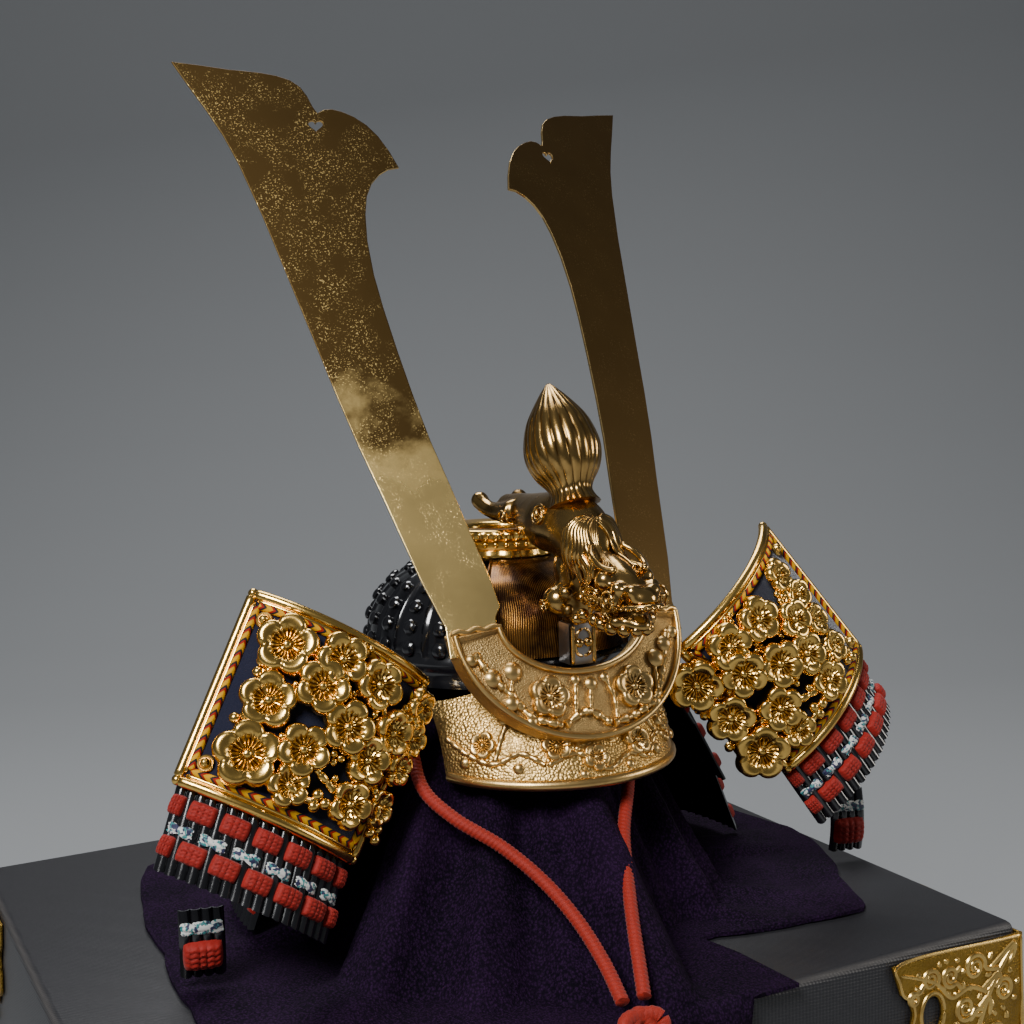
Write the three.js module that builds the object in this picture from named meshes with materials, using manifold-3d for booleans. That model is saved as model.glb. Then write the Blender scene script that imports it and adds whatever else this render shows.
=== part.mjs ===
// Display kabuto: a samurai helmet with horns, a dragon crest and turned-back wings,
// resting on a cloth-covered stand on top of its armour chest.
// Millimetres, +Z up, helmet facing -Y, origin at the middle of the chest's underside.
import * as THREE from 'three';
import { mergeVertices } from 'three/addons/utils/BufferGeometryUtils.js';
import Module from 'manifold-3d';

const wasm = await Module();
wasm.setup();

// ---------------------------------------------------------------- driving sizes
const GAP = 0.3; // clearance between neighbouring pieces

const CHEST = { width: 260, depth: 212, height: 165, lid: 60, wall: 4, round: 3, lip: 8 };
const PLATE = { reach: 50, drop: 54, thick: 0.9, hole: { across: 35, down: 17, wide: 7, tall: 11 } };
const HELMET = { x: 15, y: -43.5, z: 259 }; // seat of the helmet's own frame
const CHEST_TOP = CHEST.height - HELMET.z; // chest top seen from the helmet's frame
const CHEST_FRONT = -CHEST.depth / 2 - HELMET.y; // chest front seen from the helmet's frame

const BOWL = { y: 40, segments: 24, studSides: 4 };
// outer radius and height down the bowl, from the crown's hole to the hanging band
const BOWL_PROFILE = [
  { r: 9, z: 14 }, { r: 20, z: 13.2 }, { r: 27, z: 10.5 }, { r: 33, z: 7 }, { r: 37.5, z: 2 },
  { r: 40.2, z: -3 }, { r: 41.3, z: -8 }, { r: 41.5, z: -13 }, { r: 43, z: -13.5 }, { r: 43, z: -20 },
];
const BOWL_WALL = 2;
// one row of studs: where it sits, its foot radius and the way it points above level
const STUD_ROWS = [
  { r: 40.9, z: -8.3, foot: 2.7, pitch: 6 },
];
const STUD_RISE = 2.6;

// stepped crown ring: radius and height round its closed profile
const CROWN = [
  { r: 10, z: 14.4 }, { r: 20.4, z: 13.7 }, { r: 20.4, z: 17 }, { r: 18.9, z: 17.6 },
  { r: 18.9, z: 20.6 }, { r: 19.8, z: 21.2 }, { r: 19.8, z: 22.6 }, { r: 10, z: 22.6 },
];
const FACE_PLATE = { halfAngle: 34, thick: 0.8, lift: 0.75 };

const VISOR = { thick: 1.4, lip: 1.7, top: { y: 40, r: 44.2, z: -19.4, half: 56 },
  low: { y: 14, r: 38, z: -43, half: 74 } };
// raised plum blossoms on the visor: turn from the front, share of the way down, radius
const VISOR_FLOWERS = [
  { turn: -52, down: 0.62, r: 4.2 }, { turn: -20, down: 0.62, r: 4.6 }, { turn: -4, down: 0.76, r: 4.2 },
  { turn: 20, down: 0.72, r: 5 }, { turn: 46, down: 0.6, r: 4.6 },
];

const VISOR_RELIEF = 1.3;

const HOLDER = { half: 37, drop: 35.5, innerHalf: 22.8, innerDrop: 14.5, deep: 5, rim: 0.8, bend: 160,
  lean: 24, y: -6.2 };
const HOLDER_FLOWERS = [{ x: -13.5, z: -21.5, r: 5.6 }, { x: 14, z: -22, r: 5.8 }];
const HOLDER_BUDS = [
  { x: -28.5, z: -14, r: 2.9 }, { x: -22.5, z: -13, r: 3 }, { x: -24.5, z: -21.5, r: 2.5 },
  { x: 24, z: -14.5, r: 3 }, { x: 28.5, z: -10.5, r: 2.7 }, { x: 0, z: -19.5, r: 2 },
];

const HORN = { thick: 1, tongue: 9, slot: 11 };
// outline in the horn's own plane, from the outer foot: across (outwards) and up
const HORN_OUTER = [[0, 0], [14.8, 40], [25, 70.4], [36.2, 108], [49.5, 149], [58.5, 168], [68.4, 185.5]];
const HORN_TOP = [[60, 184.6], [51, 183.2], [42, 182.2], [36.5, 181], [31, 178.6], [27.6, 174.8], [24.6, 167.6]];
const HORN_LOBE = [[21.4, 168.9], [17.8, 168.2], [12.6, 165.6], [7.6, 161], [3.6, 154.6], [0.7, 148]];
const HORN_INNER = [[6.6, 145.8], [10.4, 141], [12.2, 133.4], [12, 118], [9, 98.6], [3, 70.4], [-5.6, 41.4],
  [-13.6, 14.8], [-16, 5]];
const HORN_HEART = { x: 25.4, z: 164.7, r: 2.1 };
const HORN_SEATS = {
  left: { x: 37.5, y: 0.4, z: 0, yaw: 16, lean: 25.2 },
  right: { x: 37.5, y: 0.4, z: 0, yaw: 13.5, lean: 28.6 },
};

const POST = { wide: 8, deep: 7.2, top: -1, bottom: -12.7, front: -11, rim: 1 };
const JEWEL = { foot: { y: -4.6, z: 36.2 }, lean: 20, flutes: 10, deep: 0.09 };
// flame jewel: radius and height along its own axis
const JEWEL_PROFILE = [
  { r: 5.6, z: 0 }, { r: 6.2, z: 2.4 }, { r: 9.6, z: 6.6 }, { r: 11.8, z: 11 }, { r: 12.2, z: 15.4 },
  { r: 11, z: 20.4 }, { r: 8.2, z: 25.2 }, { r: 4.4, z: 29.6 }, { r: 1, z: 33.4 },
];

// the dragon head as overlapping rounded masses: centre, radii and tilt about X (nose down)
const DRAGON_MASSES = [
  { x: 0, y: -7.5, z: 6, rx: 5.8, ry: 6.5, rz: 9, tilt: 0 },
  { x: 0, y: -9, z: 14, rx: 7, ry: 9, rz: 10, tilt: 0 },
  { x: 0, y: 2, z: 25.4, rx: 8.6, ry: 14, rz: 8.2, tilt: 0 },
  { x: 0, y: 22, z: 29.6, rx: 6.6, ry: 14, rz: 5.8, tilt: -2 },
  { x: 0, y: -17, z: 22.5, rx: 8.6, ry: 11, rz: 9, tilt: 30 },
  { x: 0, y: -32, z: 14.4, rx: 7.2, ry: 14, rz: 5.6, tilt: 22 },
  { x: 0, y: -33, z: 5.6, rx: 6.2, ry: 11, rz: 4.4, tilt: 14 },
];
// paired knobs of the head: horns' ends, brows, nostrils, cheeks and beard
const DRAGON_KNOBS = [
  { x: 6.8, y: 40.5, z: 32.4, r: 3.4 }, { x: 6.6, y: -33.5, z: 14.6, r: 3.3 },
  { x: 4.2, y: -41.4, z: 11.4, r: 3 }, { x: 6.6, y: -12, z: 7, r: 3.6 }, { x: 4.6, y: -37, z: 3.2, r: 2.8 },
];
const DRAGON_COLLAR = { y: -4.2, z: 32.2, r: 6.2, tall: 3.6 };

const WING = { radius: 44, from: 18.5, to: 98, height: 55, flare: 0.95, thick: 1.6, rim: 2.4, rimTall: 3,
  across: 75.3, rightStart: 3.7 };
const WING_SEATS = {
  left: { x: 32, y: 15, z: -23, turn: -47, pitch: 16.5, roll: -32.5 },
  right: { x: 27, y: 3, z: -22, turn: -40, pitch: 22, roll: -36.5 },
};
// the cast plum spray, seen from the front: across from its left, down from the top, radius
const SPRAY = [
  { x: 16, z: 11, r: 7.8 }, { x: 30, z: 9.7, r: 6.8 }, { x: 28, z: 18.6, r: 6.8 },
  { x: 16.8, z: 27.2, r: 7.2 }, { x: 41.8, z: 11, r: 6.6 }, { x: 37.8, z: 25.2, r: 6.8 },
  { x: 17, z: 42, r: 8.2 }, { x: 29.6, z: 35.4, r: 6.6 }, { x: 46.4, z: 30.4, r: 6.2 },
  { x: 29.6, z: 45, r: 5.4 }, { x: 47.2, z: 42.4, r: 6 }, { x: 50.6, z: 20.6, r: 6 },
  { x: 58.6, z: 9.6, r: 5.2 }, { x: 59.4, z: 18.4, r: 4.8 }, { x: 57.6, z: 27.6, r: 4.8 },
  { x: 58.4, z: 39, r: 5 },
];
const SPRAY_BUDS = [
  { x: 12.6, z: 20, r: 3.2 }, { x: 12.4, z: 34.6, r: 3.2 }, { x: 38.6, z: 45.4, r: 3.4 },
  { x: 60.6, z: 45.6, r: 3.2 },
];
// stems that tie the spray together, as pairs of places in the list of flowers and buds
const SPRAY_STEMS = [[0, 16], [16, 3], [3, 17], [17, 6], [7, 5], [9, 18], [10, 15], [15, 19], [14, 11],
  [11, 12], [5, 2], [7, 6], [5, 8], [4, 11], [8, 10]];
const SPRAY_LIFT = 1.6;
const RIVETS = [{ x: 7, z: 7 }, { x: 7, z: 48.5 }];

// neck guard: three laced lames, each a cone from its upper to its lower edge
const LAMES = [
  { name: 'neck_lame_upper', top: { r: 46.5, z: -20.8 }, low: { r: 60, z: -42.5 }, front: 27 },
  { name: 'neck_lame_middle', top: { r: 61.6, z: -40.5 }, low: { r: 74.5, z: -65.5 }, front: 14 },
  { name: 'neck_lame_lower', top: { r: 76.2, z: -63.5 }, low: { r: 86, z: -88 }, front: 4 },
];
const LAME_WALL = 1.4;
const FLAP = { behind: 3.4, top: 0.8, drop: { x: -1.6, y: -3.8, z: -24.5 }, thick: 1.4 };
const TIPS = {
  left: { x: 106, y: 12.5, z: -70.5, wide: 11.5, tall: 18, turn: 12 },
  right: { x: 108, y: 4, z: -70, wide: 11.5, tall: 20, turn: -14 },
};

const STAND = { head: 26, post: 12, foot: 34 };
const CLOTH = { thick: 1.2, step: 15, rise: 0.5, clear: 2.4, turnDown: 1.2, wideDown: 1.35 };
// by compass angle: where the tent of cloth meets the chest, how far its hem lies on top of
// the chest, and how far it then hangs down where it reaches over the front edge
const CLOTH_TABLE = [
  { angle: -180, foot: 66, hem: 108, drop: 0 }, { angle: -162, foot: 74, hem: 117, drop: 0 },
  { angle: -146, foot: 84, hem: 133, drop: 0 }, { angle: -137, foot: 88, hem: 180, drop: 0 },
  { angle: -132, foot: 90, hem: 180, drop: 40 }, { angle: -108, foot: 94, hem: 180, drop: 52 },
  { angle: -92, foot: 94, hem: 180, drop: 46 }, { angle: -85, foot: 90, hem: 180, drop: 38 },
  { angle: -81, foot: 84, hem: 180, drop: 0 }, { angle: -69, foot: 62, hem: 72, drop: 0 },
  { angle: -64, foot: 62, hem: 74, drop: 0 }, { angle: -50, foot: 64, hem: 94, drop: 0 },
  { angle: -42, foot: 64, hem: 110, drop: 0 }, { angle: -28, foot: 62, hem: 104, drop: 0 },
  { angle: -8, foot: 58, hem: 110, drop: 0 }, { angle: 30, foot: 53, hem: 104, drop: 0 },
  { angle: 60, foot: 52, hem: 92, drop: 0 }, { angle: 90, foot: 52, hem: 88, drop: 0 },
  { angle: 120, foot: 52, hem: 104, drop: 0 }, { angle: 141, foot: 54, hem: 122, drop: 0 },
  { angle: 160, foot: 58, hem: 112, drop: 0 }, { angle: 180, foot: 66, hem: 108, drop: 0 },
];
const CLOTH_CAP = [{ r: 2, z: 10.3 }, { r: 17, z: 8.6 }, { r: 27.4, z: 0.5 }, { r: 28.6, z: -12 }];
const CLOTH_TENT = [0.35, 0.7, 1];
const CLOTH_SKIRT = [0.5, 1];
const FOLDS = [{ count: 8, depth: 3.6, phase: 0.6 }, { count: 13, depth: 1.4, phase: 2.1 }];

const CORD = { radius: 1.9, sides: 8 };
const CORD_LEFT = [[-39.5, 24, -22.6], [-45, 8, -37], [-46, -1, -44.4], [-41.5, -10, -50.5], [-32, -21, -57.5],
  [-25.5, -32, -65], [-22, -43, -72.5], [-21.5, -55, -79.5], [-23.2, -66.4, -85]];
const CORD_RIGHT = [[33, 21, -22.6], [26, 6, -33], [18, -6, -42.5], [11.5, -15, -49], [3, -26, -58],
  [-4, -39, -67], [-9.5, -50, -74], [-13.6, -59, -80], [-17, -66.4, -85]];
const KNOT = { x: -20, y: -70.6, z: -92, rx: 9, ry: 4, rz: 6 };
const LOOP = { reach: 24, drop: 40, spread: 7, y: -68.8 };
const TAIL = { reach: 7, drop: 62, y: -69, end: 3 };

// ---------------------------------------------------------------- finishes
const finish = (color, roughness, metalness) => new THREE.MeshStandardMaterial({ color, roughness, metalness });
const FINISH = {
  leatherette: () => finish(0x16161a, 0.7, 0),
  brass: () => finish(0xc9973a, 0.32, 1),
  paleGilt: () => finish(0xc8a56a, 0.4, 1),
  castGold: () => finish(0xb88a45, 0.25, 1),
  hornGold: () => finish(0xa8823c, 0.35, 1),
  lacquer: () => finish(0x0a0a0c, 0.12, 0),
  amber: () => finish(0x6b3d12, 0.2, 0.6),
  felt: () => finish(0x11122a, 0.95, 0),
  crepe: () => finish(0x1f1030, 0.9, 0),
  redCord: () => finish(0xc8311c, 0.7, 0),
  wood: () => finish(0xb98a55, 0.6, 0),
};

// ---------------------------------------------------------------- small helpers
const rad = THREE.MathUtils.degToRad;
const mix = THREE.MathUtils.lerp;
const spread = (from, to, count) => Array.from({ length: count + 1 }, (_, i) => mix(from, to, i / count));

function bare(geometry) {
  const copy = geometry.clone();
  for (const name of Object.keys(copy.attributes)) if (name !== 'position') copy.deleteAttribute(name);
  return mergeVertices(copy, 1e-4);
}

function toSolid(geometry) {
  const merged = bare(geometry);
  const vertProperties = new Float32Array(merged.attributes.position.array);
  const triVerts = new Uint32Array(merged.index.array);
  return new wasm.Manifold(new wasm.Mesh({ numProp: 3, vertProperties, triVerts }));
}

function fromSolid(solid) {
  const { vertProperties, triVerts } = solid.getMesh();
  const geometry = new THREE.BufferGeometry();
  geometry.setAttribute('position', new THREE.BufferAttribute(vertProperties, 3));
  geometry.setIndex(new THREE.BufferAttribute(triVerts, 1));
  return geometry;
}

function joined(first, ...others) {
  return fromSolid(others.reduce((sum, next) => sum.add(toSolid(next)), toSolid(first)));
}

function without(body, ...tools) {
  return fromSolid(tools.reduce((rest, tool) => rest.subtract(toSolid(tool)), toSolid(body)));
}

function flipped(geometry) {
  const turned = bare(geometry);
  const index = turned.index.array;
  for (let i = 0; i < index.length; i += 3) [index[i + 1], index[i + 2]] = [index[i + 2], index[i + 1]];
  return turned;
}

const mirrored = (geometry) => flipped(geometry.clone().scale(-1, 1, 1));

function signedVolume(geometry) {
  const at = (i) => new THREE.Vector3().fromBufferAttribute(geometry.attributes.position, geometry.index.getX(i));
  let volume = 0;
  for (let i = 0; i < geometry.index.count; i += 3) volume += at(i).dot(at(i + 1).cross(at(i + 2)));
  return volume;
}

// closed slab between two surfaces given over a grid of stations
function slab(us, vs, front, back, loop = false) {
  const points = [];
  for (const surface of [front, back]) for (const v of vs) for (const u of us) points.push(...surface(u, v));
  const nu = us.length;
  const nv = vs.length;
  const id = (side, i, j) => side * nu * nv + j * nu + (i % nu);
  const faces = [];
  const quad = (a, b, c, d) => faces.push(a, b, c, a, c, d);
  const last = loop ? nu : nu - 1;
  for (let i = 0; i < last; i++) {
    for (let j = 0; j < nv - 1; j++) {
      quad(id(0, i, j), id(0, i + 1, j), id(0, i + 1, j + 1), id(0, i, j + 1));
      quad(id(1, i, j), id(1, i, j + 1), id(1, i + 1, j + 1), id(1, i + 1, j));
    }
    quad(id(0, i, 0), id(1, i, 0), id(1, i + 1, 0), id(0, i + 1, 0));
    quad(id(0, i, nv - 1), id(0, i + 1, nv - 1), id(1, i + 1, nv - 1), id(1, i, nv - 1));
  }
  for (let j = 0; j < nv - 1 && !loop; j++) {
    quad(id(0, 0, j), id(0, 0, j + 1), id(1, 0, j + 1), id(1, 0, j));
    quad(id(0, nu - 1, j), id(1, nu - 1, j), id(1, nu - 1, j + 1), id(0, nu - 1, j + 1));
  }
  const geometry = new THREE.BufferGeometry();
  geometry.setAttribute('position', new THREE.Float32BufferAttribute(points, 3));
  geometry.setIndex(faces);
  return signedVolume(geometry) < 0 ? flipped(geometry) : geometry;
}

// offset of a surface along its own normal, found from small steps on it
function offsetFrom(surface, distance, step = 1e-3) {
  return (u, v) => {
    const along = (du, dv) => new THREE.Vector3(...surface(u + du, v + dv));
    const across = along(step, 0).sub(along(-step, 0));
    const down = along(0, step).sub(along(0, -step));
    const normal = across.cross(down).normalize();
    return along(0, 0).addScaledVector(normal, distance).toArray();
  };
}

const wall = (us, vs, surface, thick, loop) =>
  slab(us, vs, offsetFrom(surface, thick / 2), offsetFrom(surface, -thick / 2), loop);

function lathe(profile, segments) {
  const points = profile.map(({ r, z }) => new THREE.Vector2(r, z));
  points.push(points[0].clone());
  const turned = new THREE.LatheGeometry(points, segments).rotateX(Math.PI / 2);
  const merged = bare(turned);
  return signedVolume(merged) < 0 ? flipped(merged) : merged;
}

function tube(points, radius, sides, steps) {
  const path = new THREE.CatmullRomCurve3(points.map((p) => new THREE.Vector3(...p)), false, 'centripetal');
  const section = new THREE.Shape();
  for (let i = 0; i < sides; i++) {
    const angle = (2 * Math.PI * i) / sides;
    section[i ? 'lineTo' : 'moveTo'](radius * Math.cos(angle), radius * Math.sin(angle));
  }
  const made = bare(new THREE.ExtrudeGeometry(section, { extrudePath: path, steps, curveSegments: 1 }));
  return signedVolume(made) < 0 ? flipped(made) : made;
}

function ball({ x = 0, y = 0, z = 0, rx, ry = rx, rz = rx, tilt = 0 }, around = 10, up = 6) {
  return new THREE.SphereGeometry(1, around, up).rotateX(Math.PI / 2).scale(rx, ry, rz)
    .rotateX(rad(tilt)).translate(x, y, z);
}

// a flat five-petalled blossom standing on the XY plane
function blossom(radius, tall, notched = true) {
  const outline = new THREE.Shape();
  const points = notched ? 10 : 5;
  for (let i = 0; i < points; i++) {
    const angle = (2 * Math.PI * i) / points;
    const reach = radius * (i % 2 && notched ? 0.74 : 1);
    outline[i ? 'lineTo' : 'moveTo'](reach * Math.cos(angle), reach * Math.sin(angle));
  }
  return bare(new THREE.ExtrudeGeometry(outline, { depth: tall, bevelEnabled: false }));
}

// a low dome or peg standing on the XY plane, sunk a little below it
function boss(foot, top, tall, sides, sink = 0.8) {
  return new THREE.CylinderGeometry(top, foot, tall + sink, sides).rotateX(Math.PI / 2)
    .translate(0, 0, (tall + sink) / 2 - sink);
}

// places a piece that stands on XY at a point with its top turned to a direction
function stoodAt(geometry, point, direction) {
  const turn = new THREE.Quaternion().setFromUnitVectors(new THREE.Vector3(0, 0, 1), direction.clone().normalize());
  return geometry.applyQuaternion(turn).translate(point.x, point.y, point.z);
}

function mesh(name, geometry, makeFinish) {
  const piece = new THREE.Mesh(bare(geometry), makeFinish());
  piece.name = name;
  return piece;
}

const polar = (angle, r, y = 0) => [r * Math.cos(rad(angle)), y + r * Math.sin(rad(angle))];

// ---------------------------------------------------------------- chest
function roundedBlock(width, depth, height, radius, bevel) {
  const w = width / 2 - radius;
  const d = depth / 2 - radius;
  const corners = [[w, d, 0], [-w, d, 90], [-w, -d, 180], [w, -d, 270]];
  const points = corners.flatMap(([cx, cy, start]) => [0, 45, 90].map((turn) => {
    const [x, y] = polar(start + turn, radius - bevel);
    return new THREE.Vector2(cx + x, cy + y);
  }));
  const outline = new THREE.Shape(points);
  const options = { depth: height - 2 * bevel, bevelEnabled: bevel > 0, bevelSize: bevel, bevelThickness: bevel,
    bevelSegments: 2 };
  return new THREE.ExtrudeGeometry(outline, options).translate(0, 0, bevel);
}

function chestBody() {
  const { width, depth, height, lid, wall: t, round, lip } = CHEST;
  const tall = height - lid - GAP;
  const outer = roundedBlock(width, depth, tall, round, 0);
  const inner = new THREE.BoxGeometry(width - 2 * t, depth - 2 * t, height).translate(0, 0, t + height / 2);
  const collar = new THREE.BoxGeometry(width - 2 * t + 2, depth - 2 * t + 2, 12 + lip)
    .translate(0, 0, tall - 6 + lip / 2);
  const core = new THREE.BoxGeometry(width - 4 * t, depth - 4 * t, height).translate(0, 0, t + 2 + height / 2);
  return joined(without(outer, inner), without(collar, core, inner.clone().scale(0.985, 0.985, 1)));
}

function chestLid() {
  const { width, depth, height, lid, wall: t, round, lip } = CHEST;
  const outer = roundedBlock(width, depth, lid + round, round, round - 0.6).translate(0, 0, height - lid - round);
  const trim = new THREE.BoxGeometry(width + 2, depth + 2, 2 * round).translate(0, 0, height - lid - round);
  const hollow = new THREE.BoxGeometry(width - 2 * t, depth - 2 * t, lid).translate(0, 0, height - lid / 2 - t);
  const rebate = new THREE.BoxGeometry(width - 2 * t + 2 + 2 * GAP, depth - 2 * t + 2 + 2 * GAP, 2 * (lip + 1))
    .translate(0, 0, height - lid);
  return without(outer, trim, hollow, rebate);
}

function plateLeg() {
  const { reach, drop, thick, hole } = PLATE;
  const outline = new THREE.Shape();
  outline.moveTo(0, 0);
  outline.lineTo(0, -drop);
  const steps = [[0.16, 0.97], [0.22, 0.84], [0.42, 0.72], [0.5, 0.62], [0.68, 0.55], [0.84, 0.46], [0.86, 0.26],
    [0.94, 0.15], [1, 0]];
  for (const [across, down] of steps) outline.lineTo(-reach * across, -drop * down);
  const pierced = new THREE.Path();
  pierced.absellipse(-hole.across, -hole.down, hole.wide / 2, hole.tall / 2, 0, 2 * Math.PI);
  outline.holes.push(pierced);
  return new THREE.ExtrudeGeometry(outline, { depth: thick, bevelEnabled: false, curveSegments: 4 });
}

// the plate on the +X front corner: one leg on the front, one on the side, joined at the edge
function cornerPlate() {
  const { width, depth, height, round } = CHEST;
  const x = width / 2 + GAP;
  const y = -depth / 2 - GAP;
  const top = height - round;
  const front = plateLeg().rotateX(Math.PI / 2).translate(x + PLATE.thick - 0.05, y, top);
  const side = mirrored(plateLeg()).rotateX(Math.PI / 2).rotateZ(Math.PI / 2)
    .translate(x, y - PLATE.thick + 0.05, top);
  return joined(front, side);
}

function cornerPlates() {
  const right = cornerPlate();
  const left = mirrored(right);
  const turn = (geometry) => geometry.clone().rotateZ(Math.PI);
  return [['front_right', right], ['front_left', left], ['back_left', turn(right)], ['back_right', turn(left)]]
    .map(([place, geometry]) => mesh(`corner_plate_${place}`, geometry, FINISH.brass));
}

// ---------------------------------------------------------------- stand and cloth
function stand() {
  const { head, post, foot } = STAND;
  const floor = CHEST_TOP + GAP;
  return lathe([
    { r: 0, z: 9 }, { r: head * 0.62, z: 7.2 }, { r: head, z: -0.6 }, { r: head, z: -12 }, { r: post, z: -15 },
    { r: post, z: floor + 6 }, { r: foot, z: floor + 5 }, { r: foot, z: floor }, { r: 0, z: floor },
  ], 16).translate(0, BOWL.y, 0);
}

// the table's row at any angle, with the hem held back to the chest's front edge
function clothRow(angle) {
  const next = Math.max(1, CLOTH_TABLE.findIndex((row) => row.angle >= angle));
  const [a, b] = [CLOTH_TABLE[next - 1], CLOTH_TABLE[next]];
  const share = (angle - a.angle) / (b.angle - a.angle);
  const edge = angle < 0 ? (CHEST_FRONT - CLOTH.clear - BOWL.y) / Math.sin(rad(angle)) : Infinity;
  const hem = Math.min(mix(a.hem, b.hem, share), edge);
  return { foot: mix(a.foot, b.foot, share), hem, drop: mix(a.drop, b.drop, share), hangs: hem === edge };
}

const foldAt = (angle) => FOLDS.reduce((sum, f) => sum + f.depth * Math.cos(f.count * rad(angle) + f.phase), 0);

function sample(list, place) {
  const low = Math.min(Math.floor(place), list.length - 2);
  return mix(list[low], list[low + 1], place - low);
}

function capPoint(angle, row) {
  const radii = CLOTH_CAP.map(({ r }) => r);
  const heights = CLOTH_CAP.map(({ z }) => z);
  return [...polar(angle, sample(radii, row), BOWL.y), sample(heights, row)];
}

const chestTopUnder = (wave) => CHEST_TOP + CLOTH.thick / 2 + CLOTH.rise + Math.max(0, wave) * 0.5;

function tentPoint(angle, down) {
  const start = CLOTH_CAP[CLOTH_CAP.length - 1];
  const { foot, hem } = clothRow(angle);
  const wave = foldAt(angle) * Math.min(1, down * 1.6);
  const r = Math.min(mix(start.r, foot, down ** CLOTH.wideDown) + wave, hem - 5);
  return [...polar(angle, r, BOWL.y), mix(start.z, chestTopUnder(wave), down)];
}

function skirtPoint(angle, out) {
  const { hem } = clothRow(angle);
  const [x0, y0] = tentPoint(angle, 1);
  const [x1, y1] = polar(angle, hem, BOWL.y);
  return [mix(x0, x1, out), mix(y0, y1, out), chestTopUnder(foldAt(angle) * (1 - out))];
}

// the hem's own turn: a little further out on the chest, or down its front
function hemPoint(angle) {
  const { hem, drop, hangs } = clothRow(angle);
  const [x, y] = polar(angle, hem, BOWL.y);
  const [x1, y1] = polar(angle, hem + CLOTH.turnDown, BOWL.y);
  const low = chestTopUnder(0);
  return hangs && drop > 0 ? [x, y - CLOTH.turnDown, low - drop] : [x1, y1, low];
}

// the cloth's middle surface: angle round the stand, then rows from the cap to the hem
function clothSurface(angle, row) {
  const tentStart = CLOTH_CAP.length - 1;
  const skirtStart = tentStart + CLOTH_TENT.length;
  const hemStart = skirtStart + CLOTH_SKIRT.length;
  if (row <= tentStart) return capPoint(angle, row);
  if (row <= skirtStart) return tentPoint(angle, sample([0, ...CLOTH_TENT], row - tentStart));
  if (row <= hemStart) return skirtPoint(angle, sample([0, ...CLOTH_SKIRT], row - skirtStart));
  return hemPoint(angle);
}

function clothAngles() {
  const angles = [];
  for (let i = 1; i < CLOTH_TABLE.length; i++) {
    const [a, b] = [CLOTH_TABLE[i - 1].angle, CLOTH_TABLE[i].angle];
    angles.push(...spread(a, b, Math.ceil((b - a) / CLOTH.step)).slice(0, -1));
  }
  return angles;
}

function cloth() {
  const rows = CLOTH_CAP.length + CLOTH_TENT.length + CLOTH_SKIRT.length;
  const middle = (lift) => (angle, row) => {
    const [x, y, z] = clothSurface(angle, row);
    const out = row < CLOTH_CAP.length - 1 ? 0.4 : 0.8;
    const [dx, dy] = polar(angle, lift * out);
    return row === rows && clothRow(angle).drop > 0
      ? [x, y - lift, z]
      : [x + dx, y + dy, z + lift * (row < CLOTH_CAP.length ? 1 : 0.8)];
  };
  return slab(clothAngles(), spread(0, rows, rows), middle(CLOTH.thick / 2), middle(-CLOTH.thick / 2), true);
}

// ---------------------------------------------------------------- bowl
function bowl() {
  const inner = BOWL_PROFILE.map(({ r, z }, i) => {
    const last = i >= BOWL_PROFILE.length - 1;
    return { r: r - (z > 8 ? BOWL_WALL * 0.3 : BOWL_WALL), z: last ? z : z - (z > 8 ? BOWL_WALL : 0.6) };
  });
  inner[0].r = BOWL_PROFILE[0].r;
  const coarse = inner.filter((_, i) => i % 2 === 0 || i === inner.length - 1);
  const shell = lathe([...BOWL_PROFILE, ...coarse.reverse()], BOWL.segments);
  const studs = [];
  const step = 360 / BOWL.segments;
  for (let i = 0; i < BOWL.segments; i++) {
    const angle = -90 + (i + 0.5) * step;
    const fromFront = Math.abs(angle + 90 > 180 ? angle - 270 : angle + 90);
    if (fromFront < FACE_PLATE.halfAngle + 3) continue;
    for (const row of STUD_ROWS) studs.push(stud(angle, row));
  }
  return joined(shell, ...studs).translate(0, BOWL.y, 0);
}

function stud(angle, { r, z, foot, pitch }) {
  const flat = Math.cos(rad(180 / BOWL.segments));
  const [x, y] = polar(angle, r * flat);
  const [dx, dy] = polar(angle, Math.cos(rad(pitch)));
  const peg = boss(foot, foot * 0.6, STUD_RISE, BOWL.studSides);
  return stoodAt(peg, new THREE.Vector3(x, y, z), new THREE.Vector3(dx, dy, Math.sin(rad(pitch))));
}

function crownRing() {
  return lathe(CROWN, 18).translate(0, BOWL.y, GAP);
}

function facePlate() {
  const rows = BOWL_PROFILE.slice(1, 8);
  const surface = (lift) => (angle, row) => {
    const { r, z } = rows[row];
    return [...polar(angle, r + lift, BOWL.y), z + (row < 3 ? lift : 0)];
  };
  const angles = spread(-90 - FACE_PLATE.halfAngle, -90 + FACE_PLATE.halfAngle, 5);
  const stations = rows.map((_, i) => i).filter((i) => i > 0);
  return slab(angles, stations, surface(FACE_PLATE.lift + FACE_PLATE.thick), surface(FACE_PLATE.lift));
}

// ---------------------------------------------------------------- visor
function visorSurface(turn, down) {
  const { top, low } = VISOR;
  const [x0, y0] = polar(-90 + turn * top.half, top.r, top.y);
  const [x1, y1] = polar(-90 + turn * low.half, low.r, low.y);
  const belly = 1.5 * Math.sin(Math.PI * down);
  return [mix(x0, x1, down), mix(y0, y1, down) - belly, mix(top.z, low.z, down) + belly * 0.6];
}

function visor() {
  const { low, thick, lip } = VISOR;
  const brim = wall(spread(-1, 1, 12), spread(0, 1, 2), visorSurface, thick);
  const edge = tube(spread(-1, 1, 12).map((turn) => visorSurface(turn, 1)), lip, 6, 12);
  const flowers = VISOR_FLOWERS.map(({ turn, down, r }) => {
    const share = turn / low.half;
    const at = new THREE.Vector3(...visorSurface(share, down));
    const out = new THREE.Vector3(...offsetFrom(visorSurface, 1)(share, down)).sub(at);
    if (out.y > 0) out.negate();
    return stoodAt(blossom(r, VISOR_RELIEF + 1, false), at.addScaledVector(out, -0.7), out);
  });
  return joined(brim, edge, ...flowers);
}

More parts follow.
